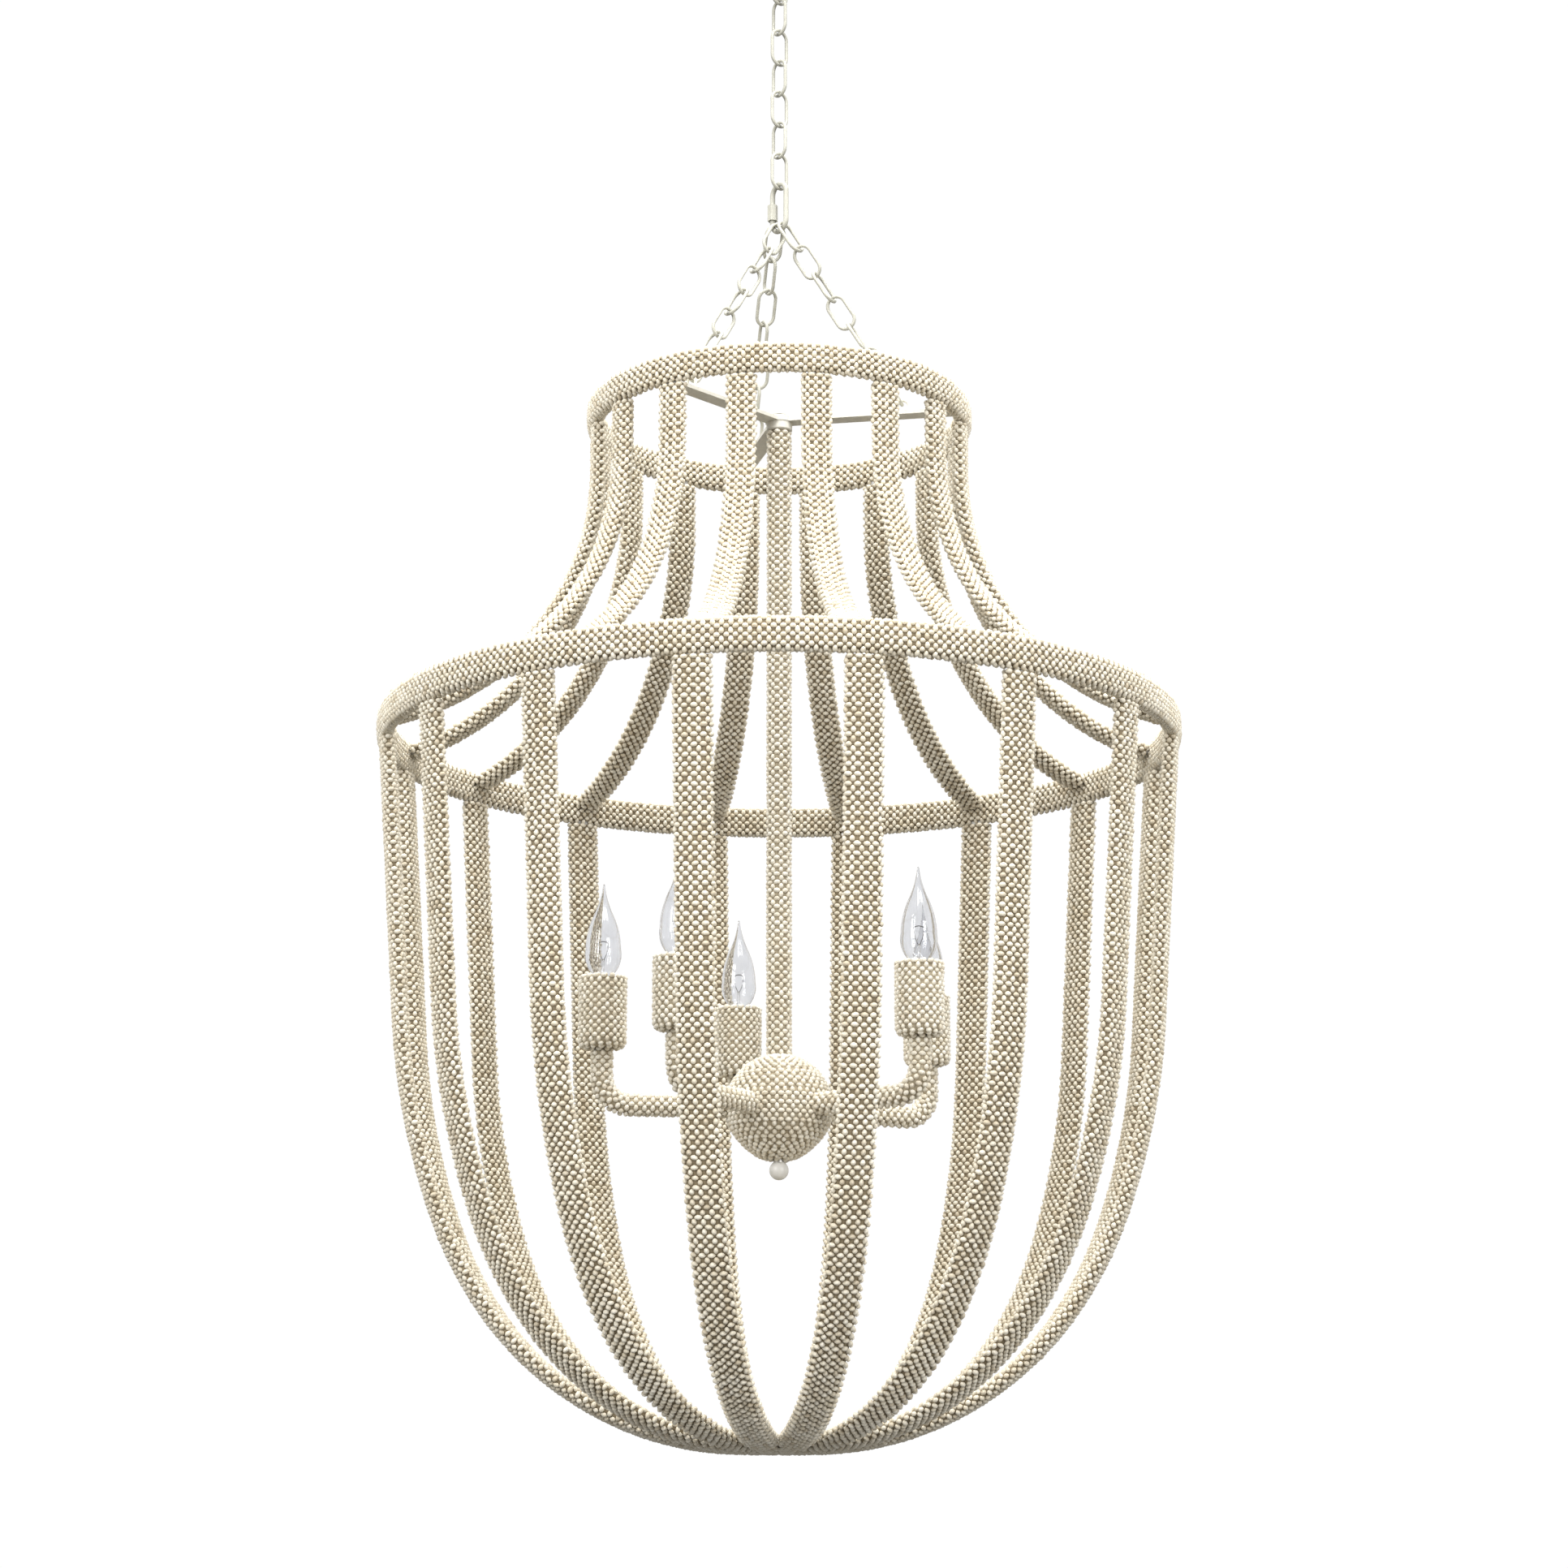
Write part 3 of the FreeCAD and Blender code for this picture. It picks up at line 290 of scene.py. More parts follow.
def net_on_strip(path, length, loop, around, closed=False, keep=None, start=0.0, cell=CELL):
    """Beads of a right-angle net round a strip.

    path(s) gives, at lengths s along the strip, its middle, its tangent, its outward normal and its width
    direction; loop gives the outline across it; around is the number of net cells round the strip. Rows
    whose threads run across the strip and rows whose threads run along it take turns. keep picks the beads
    that stay, by their middles."""
    rows = max(2, round((length - start) / cell))
    step = (length - start) / rows
    half_rows = np.arange(0, 2 * rows if closed else 2 * rows + 1)
    found = []
    for parity in (0, 1):
        these = half_rows[half_rows % 2 == parity]
        s = start + these * step / 2
        share = (np.arange(around) + 0.5 * parity + 0.25) / around
        x, y, nx, ny = loop(share)
        middle, along, normal, width = path(s)
        centre = middle[:, None] + width[:, None] * x[None, :, None] + normal[:, None] * y[None, :, None]
        outward = width[:, None] * nx[None, :, None] + normal[:, None] * ny[None, :, None]
        direction = np.broadcast_to(along[:, None], centre.shape)
        thread = direction if parity else np.cross(outward, direction)
        flat = centre.reshape(-1, 3), thread.reshape(-1, 3), outward.reshape(-1, 3)
        if keep is not None:
            mask = keep(flat[0])
            flat = tuple(part[mask] for part in flat)
        found.append((*flat, ALONG_HALF_LENGTH if parity else CROSS_HALF_LENGTH))
    return found


def tube_faces(rows, count, closed=False):
    """Four-sided faces between rows of count points; closed joins the last row to the first."""
    faces = []
    for i in range(rows if closed else rows - 1):
        j = (i + 1) % rows
        for k in range(count):
            m = (k + 1) % count
            faces.append((i * count + k, i * count + m, j * count + m, j * count + k))
    return faces


def skin_on_strip(name, path, stations, loop, material, closed=False, squeeze=None):
    """The closed core under the beads, swept along the same strip.

    squeeze(s) gives the half width that is free for it at lengths s."""
    x, y, _, _ = loop(np.arange(SKIN_SIDES) / SKIN_SIDES)
    middle, _, normal, width = path(stations)
    xs = np.broadcast_to(x[None, :], (len(stations), SKIN_SIDES)).copy()
    if squeeze is not None:
        limit = squeeze(stations)[:, None]
        xs = np.clip(xs, -limit, limit)
    co = middle[:, None] + width[:, None] * xs[..., None] + normal[:, None] * y[None, :, None]
    ob = mesh_object(name, co.reshape(-1, 3), tube_faces(len(stations), SKIN_SIDES, closed))
    if not closed:
        close_ends(ob)
    ob.data.materials.append(material)
    return fix_normals(ob)


def close_ends(ob):
    """Fill the open ends of a swept or turned surface."""
    bm = bmesh.new()
    bm.from_mesh(ob.data)
    bmesh.ops.holes_fill(bm, edges=[e for e in bm.edges if e.is_boundary])
    bmesh.ops.recalc_face_normals(bm, faces=bm.faces)
    bm.to_mesh(ob.data)
    bm.free()


def fix_normals(ob):
    """Merge doubled points and turn every face outwards."""
    bm = bmesh.new()
    bm.from_mesh(ob.data)
    bmesh.ops.remove_doubles(bm, verts=bm.verts, dist=1e-6)
    bmesh.ops.dissolve_degenerate(bm, edges=bm.edges, dist=1e-6)
    bmesh.ops.recalc_face_normals(bm, faces=bm.faces)
    bm.to_mesh(ob.data)
    bm.free()
    return ob


# ------------------------------------------------------------------ materials


def new_material(name):
    """A material with its node tree and its Principled shader."""
    mat = bpy.data.materials.new(name)
    mat.use_nodes = True
    nt = mat.node_tree
    return mat, nt, nt.nodes["Principled BSDF"]


def link(nt, a, b):
    nt.links.new(a, b)


def ramp(nt, source, stops):
    """A colour read from a value, by stops of (position, colour)."""
    node = nt.nodes.new("ShaderNodeValToRGB")
    elements = node.color_ramp.elements
    while len(elements) < len(stops):
        elements.new(0.5)
    for element, (position, colour) in zip(elements, stops):
        element.position = position
        element.color = (*colour, 1)
    link(nt, source, node.inputs["Fac"])
    return node.outputs["Color"]


def noise(nt, scale, detail, roughness=0.5):
    """A value that wanders through the object; scale is in waves to the metre."""
    node = nt.nodes.new("ShaderNodeTexNoise")
    node.inputs["Scale"].default_value = scale
    node.inputs["Detail"].default_value = detail
    node.inputs["Roughness"].default_value = roughness
    coords = nt.nodes.new("ShaderNodeTexCoord")
    link(nt, coords.outputs["Object"], node.inputs["Vector"])
    return node.outputs["Fac"]


def seen_directly(nt):
    """1 for what the camera sees, also through the clear glass, and 0 for light that bounces."""
    rays = nt.nodes.new("ShaderNodeLightPath")
    either = nt.nodes.new("ShaderNodeMath")
    either.operation = "MAXIMUM"
    link(nt, rays.outputs["Is Camera Ray"], either.inputs[0])
    link(nt, rays.outputs["Is Transmission Ray"], either.inputs[1])
    return either.outputs[0]


def mix_colour(nt, mode, factor, a, b):
    """Two colours mixed in a blend mode."""
    node = nt.nodes.new("ShaderNodeMix")
    node.data_type = "RGBA"
    node.blend_type = mode
    node.inputs["Factor"].default_value = factor
    link(nt, a, node.inputs["A"])
    link(nt, b, node.inputs["B"])
    return node.outputs["Result"]


def bump(nt, shader, height, distance, strength):
    """Small relief on a shader's normal; distance is in metres."""
    node = nt.nodes.new("ShaderNodeBump")
    node.inputs["Distance"].default_value = distance
    node.inputs["Strength"].default_value = strength
    link(nt, height, node.inputs["Height"])
    link(nt, node.outputs["Normal"], shader.inputs["Normal"])


TINT_SHARES = (0.0, 0.12, 0.5, 1.0)


def bead_material(name, tints):
    """Bleached coconut-shell beads: each its own tint, with fine grain and faint patches over several."""
    mat, nt, shader = new_material(name)
    attribute = nt.nodes.new("ShaderNodeAttribute")
    attribute.attribute_name = "tint"
    base = ramp(nt, attribute.outputs["Fac"], list(zip(TINT_SHARES, tints)))
    grain = ramp(nt, noise(nt, 900, 4), [(0.3, (0.80, 0.76, 0.68)), (0.65, (1.0, 1.0, 1.0))])
    patches = ramp(nt, noise(nt, 22, 2), [(0.3, (0.90, 0.88, 0.83)), (0.7, (1.0, 1.0, 1.0))])
    colour = mix_colour(nt, "MULTIPLY", 0.8, base, grain)
    colour = mix_colour(nt, "MULTIPLY", 0.7, colour, patches)
    link(nt, colour, shader.inputs["Base Color"])
    shader.inputs["Roughness"].default_value = 0.75
    shader.inputs["Specular IOR Level"].default_value = 0.2
    return mat


def core_material(name, dark, pale):
    """The wrap that shows in the gaps of the net, mottled between a dark and a pale colour."""
    mat, nt, shader = new_material(name)
    colour = ramp(nt, noise(nt, 160, 3), [(0.3, dark), (0.7, pale)])
    link(nt, colour, shader.inputs["Base Color"])
    shader.inputs["Roughness"].default_value = 0.8
    return mat


def paint_material(name, dark, pale, roughness):
    """Paint, enamel or moulded plastic, slightly uneven in colour and surface."""
    mat, nt, shader = new_material(name)
    colour = ramp(nt, noise(nt, 70, 5, 0.6), [(0.3, dark), (0.65, pale)])
    link(nt, colour, shader.inputs["Base Color"])
    shader.inputs["Roughness"].default_value = roughness
    bump(nt, shader, noise(nt, 420, 2), 0.0003, 0.25)
    return mat


def metal_material(name, dark, pale, roughness, scale):
    """Bare metal with faint mottling and fine marks."""
    mat, nt, shader = new_material(name)
    colour = ramp(nt, noise(nt, scale, 4), [(0.3, dark), (0.7, pale)])
    link(nt, colour, shader.inputs["Base Color"])
    shader.inputs["Metallic"].default_value = 1.0
    shader.inputs["Roughness"].default_value = roughness
    bump(nt, shader, noise(nt, scale * 3, 2), 0.0002, 0.15)
    return mat


def glass_material():
    """Clear, very slightly grey glass."""
    mat, nt, shader = new_material("bulb_glass")
    colour = ramp(nt, noise(nt, 60, 1), [(0.3, (0.84, 0.845, 0.86)), (0.7, (0.89, 0.895, 0.91))])
    link(nt, colour, shader.inputs["Base Color"])
    shader.inputs["Transmission Weight"].default_value = 1.0
    shader.inputs["Roughness"].default_value = 0.0
    shader.inputs["IOR"].default_value = 1.46
    return mat


CAGE_TINTS = [(0.62, 0.55, 0.43), (0.75, 0.69, 0.57), (0.82, 0.77, 0.66), (0.88, 0.84, 0.74)]
# the same beads as the cage's, in a paler copy for the stem, ball, arms and cups: painted light
ARM_LIT_TINTS = [(0.74, 0.68, 0.57), (0.84, 0.79, 0.68), (0.90, 0.86, 0.76), (0.94, 0.91, 0.83)]
BEADS = bead_material("bead_wood", CAGE_TINTS)
ARM_LIT_BEADS = bead_material("bead_wood_lit", ARM_LIT_TINTS)
# the cage's wrap colour, darkened well below the wrap's own tan as painted shade in the gaps of the net
SHADE_DARKENED_CORE = core_material("net_core", (0.185, 0.145, 0.088), (0.28, 0.225, 0.14))
# a paler copy of the same wrap for the stem, ball, arms and cups, without the cage core's painted shade
ARM_CORE = core_material("net_core_pale", (0.34, 0.285, 0.195), (0.47, 0.41, 0.30))
PAINT = paint_material("white_paint", (0.62, 0.60, 0.52), (0.74, 0.72, 0.64), 0.42)
# the chain's copy of the white paint, darkened as painted shade against the strong light from the overhead
# lamp
SHADED_CHAIN_PAINT = paint_material("chain_paint_shaded", (0.40, 0.39, 0.33), (0.50, 0.49, 0.42), 0.45)
FINIAL_PAINT = paint_material("finial_enamel", (0.72, 0.71, 0.67), (0.80, 0.79, 0.76), 0.18)
STEEL = metal_material("bare_steel", (0.42, 0.41, 0.39), (0.60, 0.59, 0.57), 0.38, 90)
BRASS = metal_material("cap_brass", (0.62, 0.50, 0.26), (0.80, 0.68, 0.42), 0.28, 120)
WIRE = metal_material("filament_wire", (0.10, 0.095, 0.09), (0.22, 0.21, 0.20), 0.35, 300)
WHITE_PLASTIC = paint_material("white_plastic", (0.82, 0.82, 0.80), (0.90, 0.90, 0.88), 0.30)
SOCKET_PLASTIC = paint_material("socket_plastic", (0.66, 0.64, 0.58), (0.76, 0.74, 0.68), 0.55)
GLASS = glass_material()

BY_SLOT = {
    "beads": BEADS,
    "white_paint": PAINT,
    "bare_steel": STEEL,
    "white_plastic": WHITE_PLASTIC,
    "socket_plastic": SOCKET_PLASTIC,
    "cap_brass": BRASS,
    "bulb_glass": GLASS,
    "filament_wire": WIRE,
}
for part in frame["record"]["subparts"]:
    me = frame["nodes"][part["node"]].data
    me.materials.clear()
    me.materials.append(BY_SLOT[part["material_slot"]])


def place(piece, body, slot, *nodes):
    """Say what a piece rides on and which nodes it stands for; slot, where its finish would come from, is
    not used.
    """
    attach(piece, body)
    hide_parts(*nodes)


# ------------------------------------------------------------------ paths


def radial_path(points_of, azimuth):
    """Turns a side view (distance from the axis, height, tangent) into a path at an azimuth."""
    out = out_dir(azimuth)
    width = np.cross(UP, out)

    def path(s):
        rho, z, t_rho, t_z = points_of(np.asarray(s, float))
        middle = out * rho[:, None] + UP * z[:, None]
        along = out * t_rho[:, None] + UP * t_z[:, None]
        normal = out * (-t_z)[:, None] + UP * t_rho[:, None]
        return middle, along, normal, np.broadcast_to(width, middle.shape)

    return path


def chain_of(pieces):
    """A side view made of straight runs and arcs; each piece gives its length and a function of s."""
    lengths = [p[0] for p in pieces]
    starts = np.concatenate([[0], np.cumsum(lengths)])

    def points_of(s):
        out = np.zeros((4, len(s)))
        for i, (_, fn) in enumerate(pieces):
            last = i == len(pieces) - 1
            here = (s >= starts[i] - 1e-12) & ((s < starts[i + 1]) | last)
            out[:, here] = fn(s[here] - starts[i])
        return out

    return points_of, float(starts[-1])


def line(rho, z, t_rho, t_z):
    """A straight run of a side view from (rho, z)."""
    return lambda s: np.array([rho + t_rho * s, z + t_z * s, np.full_like(s, t_rho), np.full_like(s, t_z)])


def upper_side(depth):
    """The side view of an upper rib at a depth behind its outer face, from the top ring down and out."""
    start, curve, level = UPPER_RIB_RADIUS, FLARE_CURVE, FLARE_Z
    radius = curve + depth
    reach = MID_RING_OUT - BAND - BAR_PLAY
    end = math.acos((start + curve - reach) / radius)
    first = TOP_RING_LOW - level

    def arc(s):
        a = s / radius
        return np.array([
            start + curve - radius * np.cos(a),
            level - radius * np.sin(a),
            np.sin(a),
            -np.cos(a),
        ])

    return chain_of([(first, line(start - depth, TOP_RING_LOW, 0, -1)), (end * radius, arc)])


def lower_side(depth):
    """The side view of a lower rib at a depth behind its outer face, from the large ring to the floor."""
    lean = LOWER_LEAN
    rho, z = LOWER_RIB_RADIUS - depth * math.cos(lean), MID_RING_LOW + depth * math.sin(lean)
    first = (MID_RING_LOW - BOWL_Z) / math.cos(lean)
    pieces = [(first, line(rho, z, -math.sin(lean), -math.cos(lean)))]
    rho, z = rho - math.sin(lean) * first, z - math.cos(lean) * first
    angle = lean
    for radius, end in BOWL_CURVES:
        r = radius - depth
        end = math.radians(end)
        centre = (rho - math.cos(angle) * r, z + math.sin(angle) * r)

        def arc(s, r=r, centre=centre, angle=angle):
            a = angle + s / r
            return np.array([
                centre[0] + r * np.cos(a),
                centre[1] - r * np.sin(a),
                -np.sin(a),
                -np.cos(a),
            ])

        pieces.append(((end - angle) * r, arc))
        rho, z = centre[0] + r * math.cos(end), centre[1] - r * math.sin(end)
        angle = end
    pieces.append((rho, line(rho, z, -1.0, 0.0)))
    return chain_of(pieces)


def ring_path(radius, height):
    """A level ring: its outward normal is level and its width direction is up."""

    def path(s):
        a = np.asarray(s, float) / radius
        out = np.stack([np.sin(a), -np.cos(a), np.zeros_like(a)], axis=1)
        along = np.stack([np.cos(a), np.sin(a), np.zeros_like(a)], axis=1)
        middle = out * radius + UP * height
        return middle, along, out, np.broadcast_to(UP, middle.shape)

    return path


# ------------------------------------------------------------------ cage

QUARTERS = {"front": 0, "right": 90, "back": 180, "left": 270}
AZIMUTHS = [360 / RIBS * (i + 0.5) for i in range(RIBS)]
WEDGE = math.tan(math.radians(180 / RIBS))


def in_wedge(azimuth, play):
    """A test for points that are nearer to the rib at an azimuth than to its neighbours."""
    out = out_dir(azimuth)
    width = np.cross(UP, out)

    def keep(points):
        return np.abs(points @ width) < (points @ out) * WEDGE - play

    return keep


def cage_ribs(prefix, side, wide, around, parts_per_quarter, cell):
    """Beads and cores of the ribs above or below the large ring, one quarter of them to a node."""
    points_of, length = side(HALF_THICK)
    bead_loop, skin_loop = strip_loops(wide / 2, HALF_THICK, RIB_SQUARENESS)
    count = max(FEWEST_RIB_STATIONS, int(length / RIB_STATION))
    stations = np.linspace(RIB_END_PLAY, length - RIB_END_PLAY, count)

    def squeeze(s):
        """Half the width that is free between two neighbours, where they meet in the floor."""
        return np.maximum(points_of(s)[0] * WEDGE - FLOOR_PLAY, LEAST_FLOOR_WIDTH)

    for name, middle in QUARTERS.items():
        azimuths = [a for a in AZIMUTHS if abs((a - middle + 180) % 360 - 180) < 45]
        node = f"{prefix}_ribs_{name}"
        per = len(azimuths) // parts_per_quarter
        for group in range(parts_per_quarter):
            beads = []
            for azimuth in azimuths[group * per:(group + 1) * per]:
                beads += net_on_strip(
                    radial_path(points_of, azimuth),
                    length - BEAD,
                    bead_loop,
                    around,
                    keep=in_wedge(azimuth, WEDGE_PLAY),
                    start=BEAD,
                    cell=cell,
                )
            place(beads_object(f"{node}_beads_{group + 1}", beads, BEADS), "lantern", "beads", node)
        for index, azimuth in enumerate(azimuths, start=1):
            path = radial_path(points_of, azimuth)
            skin = skin_on_strip(f"{node}_core_{index}", path, stations, skin_loop, SHADE_DARKENED_CORE, squeeze=squeeze)
            place(skin, "lantern", "beads", node)


def cage_ring(node, outer, low_z, high_z, around, parts):
    """Beads, shared out over a few pieces, and core of a level ring."""
    radius = outer - BAND / 2
    path = ring_path(radius, (low_z + high_z) / 2)
    length = 2 * math.pi * radius
    bead_loop, skin_loop = strip_loops((high_z - low_z) / 2, BAND / 2, RING_SQUARENESS)
    beads = net_on_strip(path, length, bead_loop, around, closed=True)
    share = 2 * math.pi / parts
    for part in range(parts):
        chosen = []
        for centre, thread, outward, half_length in beads:
            a = np.arctan2(centre[:, 0], -centre[:, 1]) % (2 * math.pi)
            mine = (a >= part * share) & (a < (part + 1) * share)
            chosen.append((centre[mine], thread[mine], outward[mine], half_length))
        place(beads_object(f"{node}_beads_{part + 1}", chosen, BEADS), "lantern", "beads", node)
    stations = np.linspace(0, length, RING_STATIONS, endpoint=False)
    skin = skin_on_strip(f"{node}_core", path, stations, skin_loop, SHADE_DARKENED_CORE, closed=True)
    place(skin, "lantern", "beads", node)


cage_ribs("upper", upper_side, UPPER_WIDTH, 8, 1, CELL)
cage_ribs("lower", lower_side, LOWER_WIDTH, 9, 2, LOWER_CELL)
cage_ring("large_ring_sleeve", MID_RING_OUT, MID_RING_LOW, MID_RING_HIGH, 9, 2)
cage_ring("top_ring_sleeve", TOP_RING_OUT, TOP_RING_LOW, TOP_RING_HIGH, 9, 1)

# ------------------------------------------------------------------ stem, ball, arms and cups


def round_loop(radius):
    """The outline across a round rod, in the form that superellipse gives."""

    def at(share):
        a = np.asarray(share, float) * 2 * math.pi
        return radius * np.sin(a), radius * np.cos(a), np.sin(a), np.cos(a)

    return at


def polyline_path(samples, first_normal):
    """A path through finely spaced samples, with directions carried along it without twist."""
    p = np.array(samples)
    seg = np.linalg.norm(np.diff(p, axis=0), axis=1)
    s_at = np.concatenate([[0], np.cumsum(seg)])
    tangent = unit(np.gradient(p, axis=0))
    normal = np.zeros_like(p)
    current = np.array(first_normal, float)
    for i, t in enumerate(tangent):
        current = current - t * (current @ t)
        current /= np.linalg.norm(current)
        normal[i] = current

    def path(s):
        s = np.asarray(s, float)

        def pick(values):
            return np.stack([np.interp(s, s_at, values[:, c]) for c in range(3)], axis=1)

        middle, along, out = pick(p), unit(pick(tangent)), unit(pick(normal))
        return middle, along, out, np.cross(along, out)

    return path, float(s_at[-1])


def rod(prefix, samples, first_normal, radius, around, node, start=0.0):
    """The core of a round beaded rod, which is placed, and the rows of its beads, which are returned."""
    path, length = polyline_path(samples, first_normal)
    beads = net_on_strip(path, length, round_loop(radius - BEAD), around, start=start)
    stations = np.linspace(0, length, max(8, int(length / ROD_STATION)))
    under = round_loop(radius - BEAD - UNDER_BEADS)
    place(skin_on_strip(f"{prefix}_core", path, stations, under, ARM_CORE), "lantern", "beads", node)
    return beads


def bead_ring(spot, radius, height, outward_level, outward_up, count, index, half_lengths):
    """A level row of beads; the threads of even rows run round it, and those of odd rows across it."""
    odd = index % 2
    around = level_circle(count, 0.5 * odd)
    outward = around * outward_level + UP * outward_up
    level = np.cross(UP, around)
    thread = np.cross(outward, level) if odd else level
    return spot + around * radius + UP * height, thread, outward, half_lengths[odd]


def turned_skin(name, radii, heights, centre, count, material):
    """A surface turned round an upright axis through centre."""
    ring = level_circle(count)
    turned = np.array(radii)[:, None, None] * ring[None]
    co = turned + UP * np.array(heights)[:, None, None] + np.array(centre)
    ob = mesh_object(name, co.reshape(-1, 3), tube_faces(len(radii), count))
    ob.data.materials.append(material)
    return ob


def closed_turn(name, outline, centre, count, material):
    """A ring-shaped body turned from a closed outline of (radius, height)."""
    radii = [r for r, _ in outline] + [outline[0][0]]
    heights = [z for _, z in outline] + [outline[0][1]]
    return fix_normals(turned_skin(name, radii, heights, centre, count, material))


def build_stem():
    """The beaded stem, which runs a little way into the top of the ball."""
    foot = BALL_Z + math.sqrt(BALL_RADIUS**2 - STEM_RADIUS**2) - STEM_LAP
    samples = [np.array([0, 0, z]) for z in np.linspace(high("stem_sleeve")[2], foot, 200)]
    beads = rod("stem", samples, (0, -1, 0), STEM_RADIUS, 8, "stem_sleeve", start=BEAD)
    place(beads_object("stem_beads", beads, ARM_LIT_BEADS), "lantern", "beads", "stem_sleeve")


def ball_profile(t):
    """Radius and height of the ball at an angle t from its top; its lower side is drawn in a little."""
    r, z = BALL_RADIUS * np.sin(t), BALL_RADIUS * np.cos(t)
    lower = np.clip((t - math.radians(BALL_DRAWN_FROM)) / math.radians(180 - BALL_DRAWN_FROM), 0, 1)
    return r * (1 - BALL_DRAWN_IN * np.sin(lower * math.pi) ** 1.2), z


def ball_beads():
    """Level rows of beads down the ball; a row keeps the count of the one above while that nearly fits."""
    shrink = (BALL_RADIUS - BEAD) / BALL_RADIUS
    steps = round((BALL_NET_TO - BALL_NET_FROM) * BALL_RADIUS / (LOWER_CELL / 2))
    rows = []
    count = 3
    for index, t in enumerate(np.linspace(BALL_NET_FROM, BALL_NET_TO, steps + 1)):
        r, z = ball_profile(np.array([t]))
        r, z = r[0] * shrink, z[0] * shrink
        fitting = 2 * math.pi * r / CELL
        if not 1 - ROW_SLACK < count / fitting < 1 + ROW_SLACK:
            bias = ROW_BIAS if t < math.pi / 2 else -ROW_BIAS
            count = max(3, round(fitting * (1 + bias)))
        half_lengths = (CROSS_HALF_LENGTH, ALONG_HALF_LENGTH)
        rows.append(bead_ring(0, r, BALL_Z + z, math.sin(t), math.cos(t), count, index, half_lengths))
    return rows


def build_ball():
    """The beaded ball that the stem ends in and the arms start from."""
    r, z = ball_profile(np.linspace(0.02, math.pi - 0.02, 40))
    shrink = (BALL_RADIUS - BEAD - UNDER_BEADS) / BALL_RADIUS
    core = turned_skin("ball_core", r * shrink, z * shrink + BALL_Z, (0, 0, 0), 48, ARM_CORE)
    close_ends(core)
    place(core, "lantern", "beads", "ball_sleeve")
    place(beads_object("ball_beads", ball_beads(), ARM_LIT_BEADS), "lantern", "beads", "ball_sleeve")


def arm_samples(out):
    """The middle of an arm: level from the ball, round the elbow and up to its cup."""
    samples = [out * d + UP * BALL_Z for d in np.linspace(ARM_START, ARM_REACH - ELBOW, 60)]
    centre = out * (ARM_REACH - ELBOW) + UP * (BALL_Z + ELBOW)
    for a in np.linspace(0, math.pi / 2, 40)[1:]:
        samples.append(centre + out * (ELBOW * math.sin(a)) - UP * (ELBOW * math.cos(a)))
    for h in np.linspace(BALL_Z + ELBOW, CUP_FLOOR + 0.5 * MM, 30)[1:]:
        samples.append(out * ARM_REACH + UP * h)
    return samples


def build_arms():
    """The five beaded arms."""
    beads = []
    for index, azimuth in enumerate(ARM_AZIMUTHS, start=1):
        samples = arm_samples(out_dir(azimuth))
        beads += rod(f"arm_{index}", samples, (0, 0, -1), ARM_RADIUS, 7, "arm_sleeves")
    place(beads_object("arm_beads", beads, ARM_LIT_BEADS), "lantern", "beads", "arm_sleeves")


def cup_beads(spot):
    """Rows of beads down the wall of a cup, round its foot, over its rim and down inside."""
    outer, inner = CUP_RADIUS - BEAD, CUP_RADIUS - BEAD - CUP_WALL
    rim, foot = CUP_RIM - BEAD, CUP_FLOOR + BEAD
    step = CELL / 2
    last = round((rim - foot - CUP_CHAMFER) / step)

    # radius, height, outward level and up, number of beads, and whether the row is even or odd
    rows = [(outer, rim - i * step, 1, 0, 17, i) for i in range(last + 1)]
    rows.append((outer - 1.6 * MM, foot + 1.8 * MM, 0.8, -0.6, 16, last + 1))
    rows.append((outer - 5.6 * MM, foot, 0.1, -1, 12, 0))
    rows.append((inner + 0.8 * MM, rim + 0.6 * MM, -0.3, 1, 16, 1))
    rows += [(inner, rim - 3 * MM - i * step, -1, 0, 14, i) for i in range(CUP_INSIDE_ROWS)]
    return [bead_ring(spot, *row, (ALONG_HALF_LENGTH, ALONG_HALF_LENGTH)) for row in rows]


def build_cup(node, spot):
    """The beads of a candle cup and the walls and floor under them."""
    place(beads_object(f"{node}_beads", cup_beads(spot), ARM_LIT_BEADS), "lantern", "beads", node)
    wall_out = CUP_RADIUS - BEAD - UNDER_BEADS
    wall_in = wall_out - CUP_CORE_WALL
    under, rim = CUP_FLOOR + 2 * MM, CUP_RIM - 3 * MM
    outline = [
        (CUP_CORE_HOLE, under),
        (wall_out - 4 * MM, under),
        (wall_out, under + 4 * MM),
        (wall_out, rim),
        (wall_in, rim),
        (wall_in, under + CUP_CORE_FLOOR),
        (CUP_CORE_HOLE, under + CUP_CORE_FLOOR),
    ]
    skin = closed_turn(f"{node}_core", outline, spot, 40, ARM_CORE)
    place(skin, "lantern", "beads", node)


build_stem()
build_ball()
build_arms()
for index, azimuth in enumerate(ARM_AZIMUTHS, start=1):
    build_cup(f"candle_cup_{index}", out_dir(azimuth) * ARM_REACH)

# ------------------------------------------------------------------ inside of the bulbs


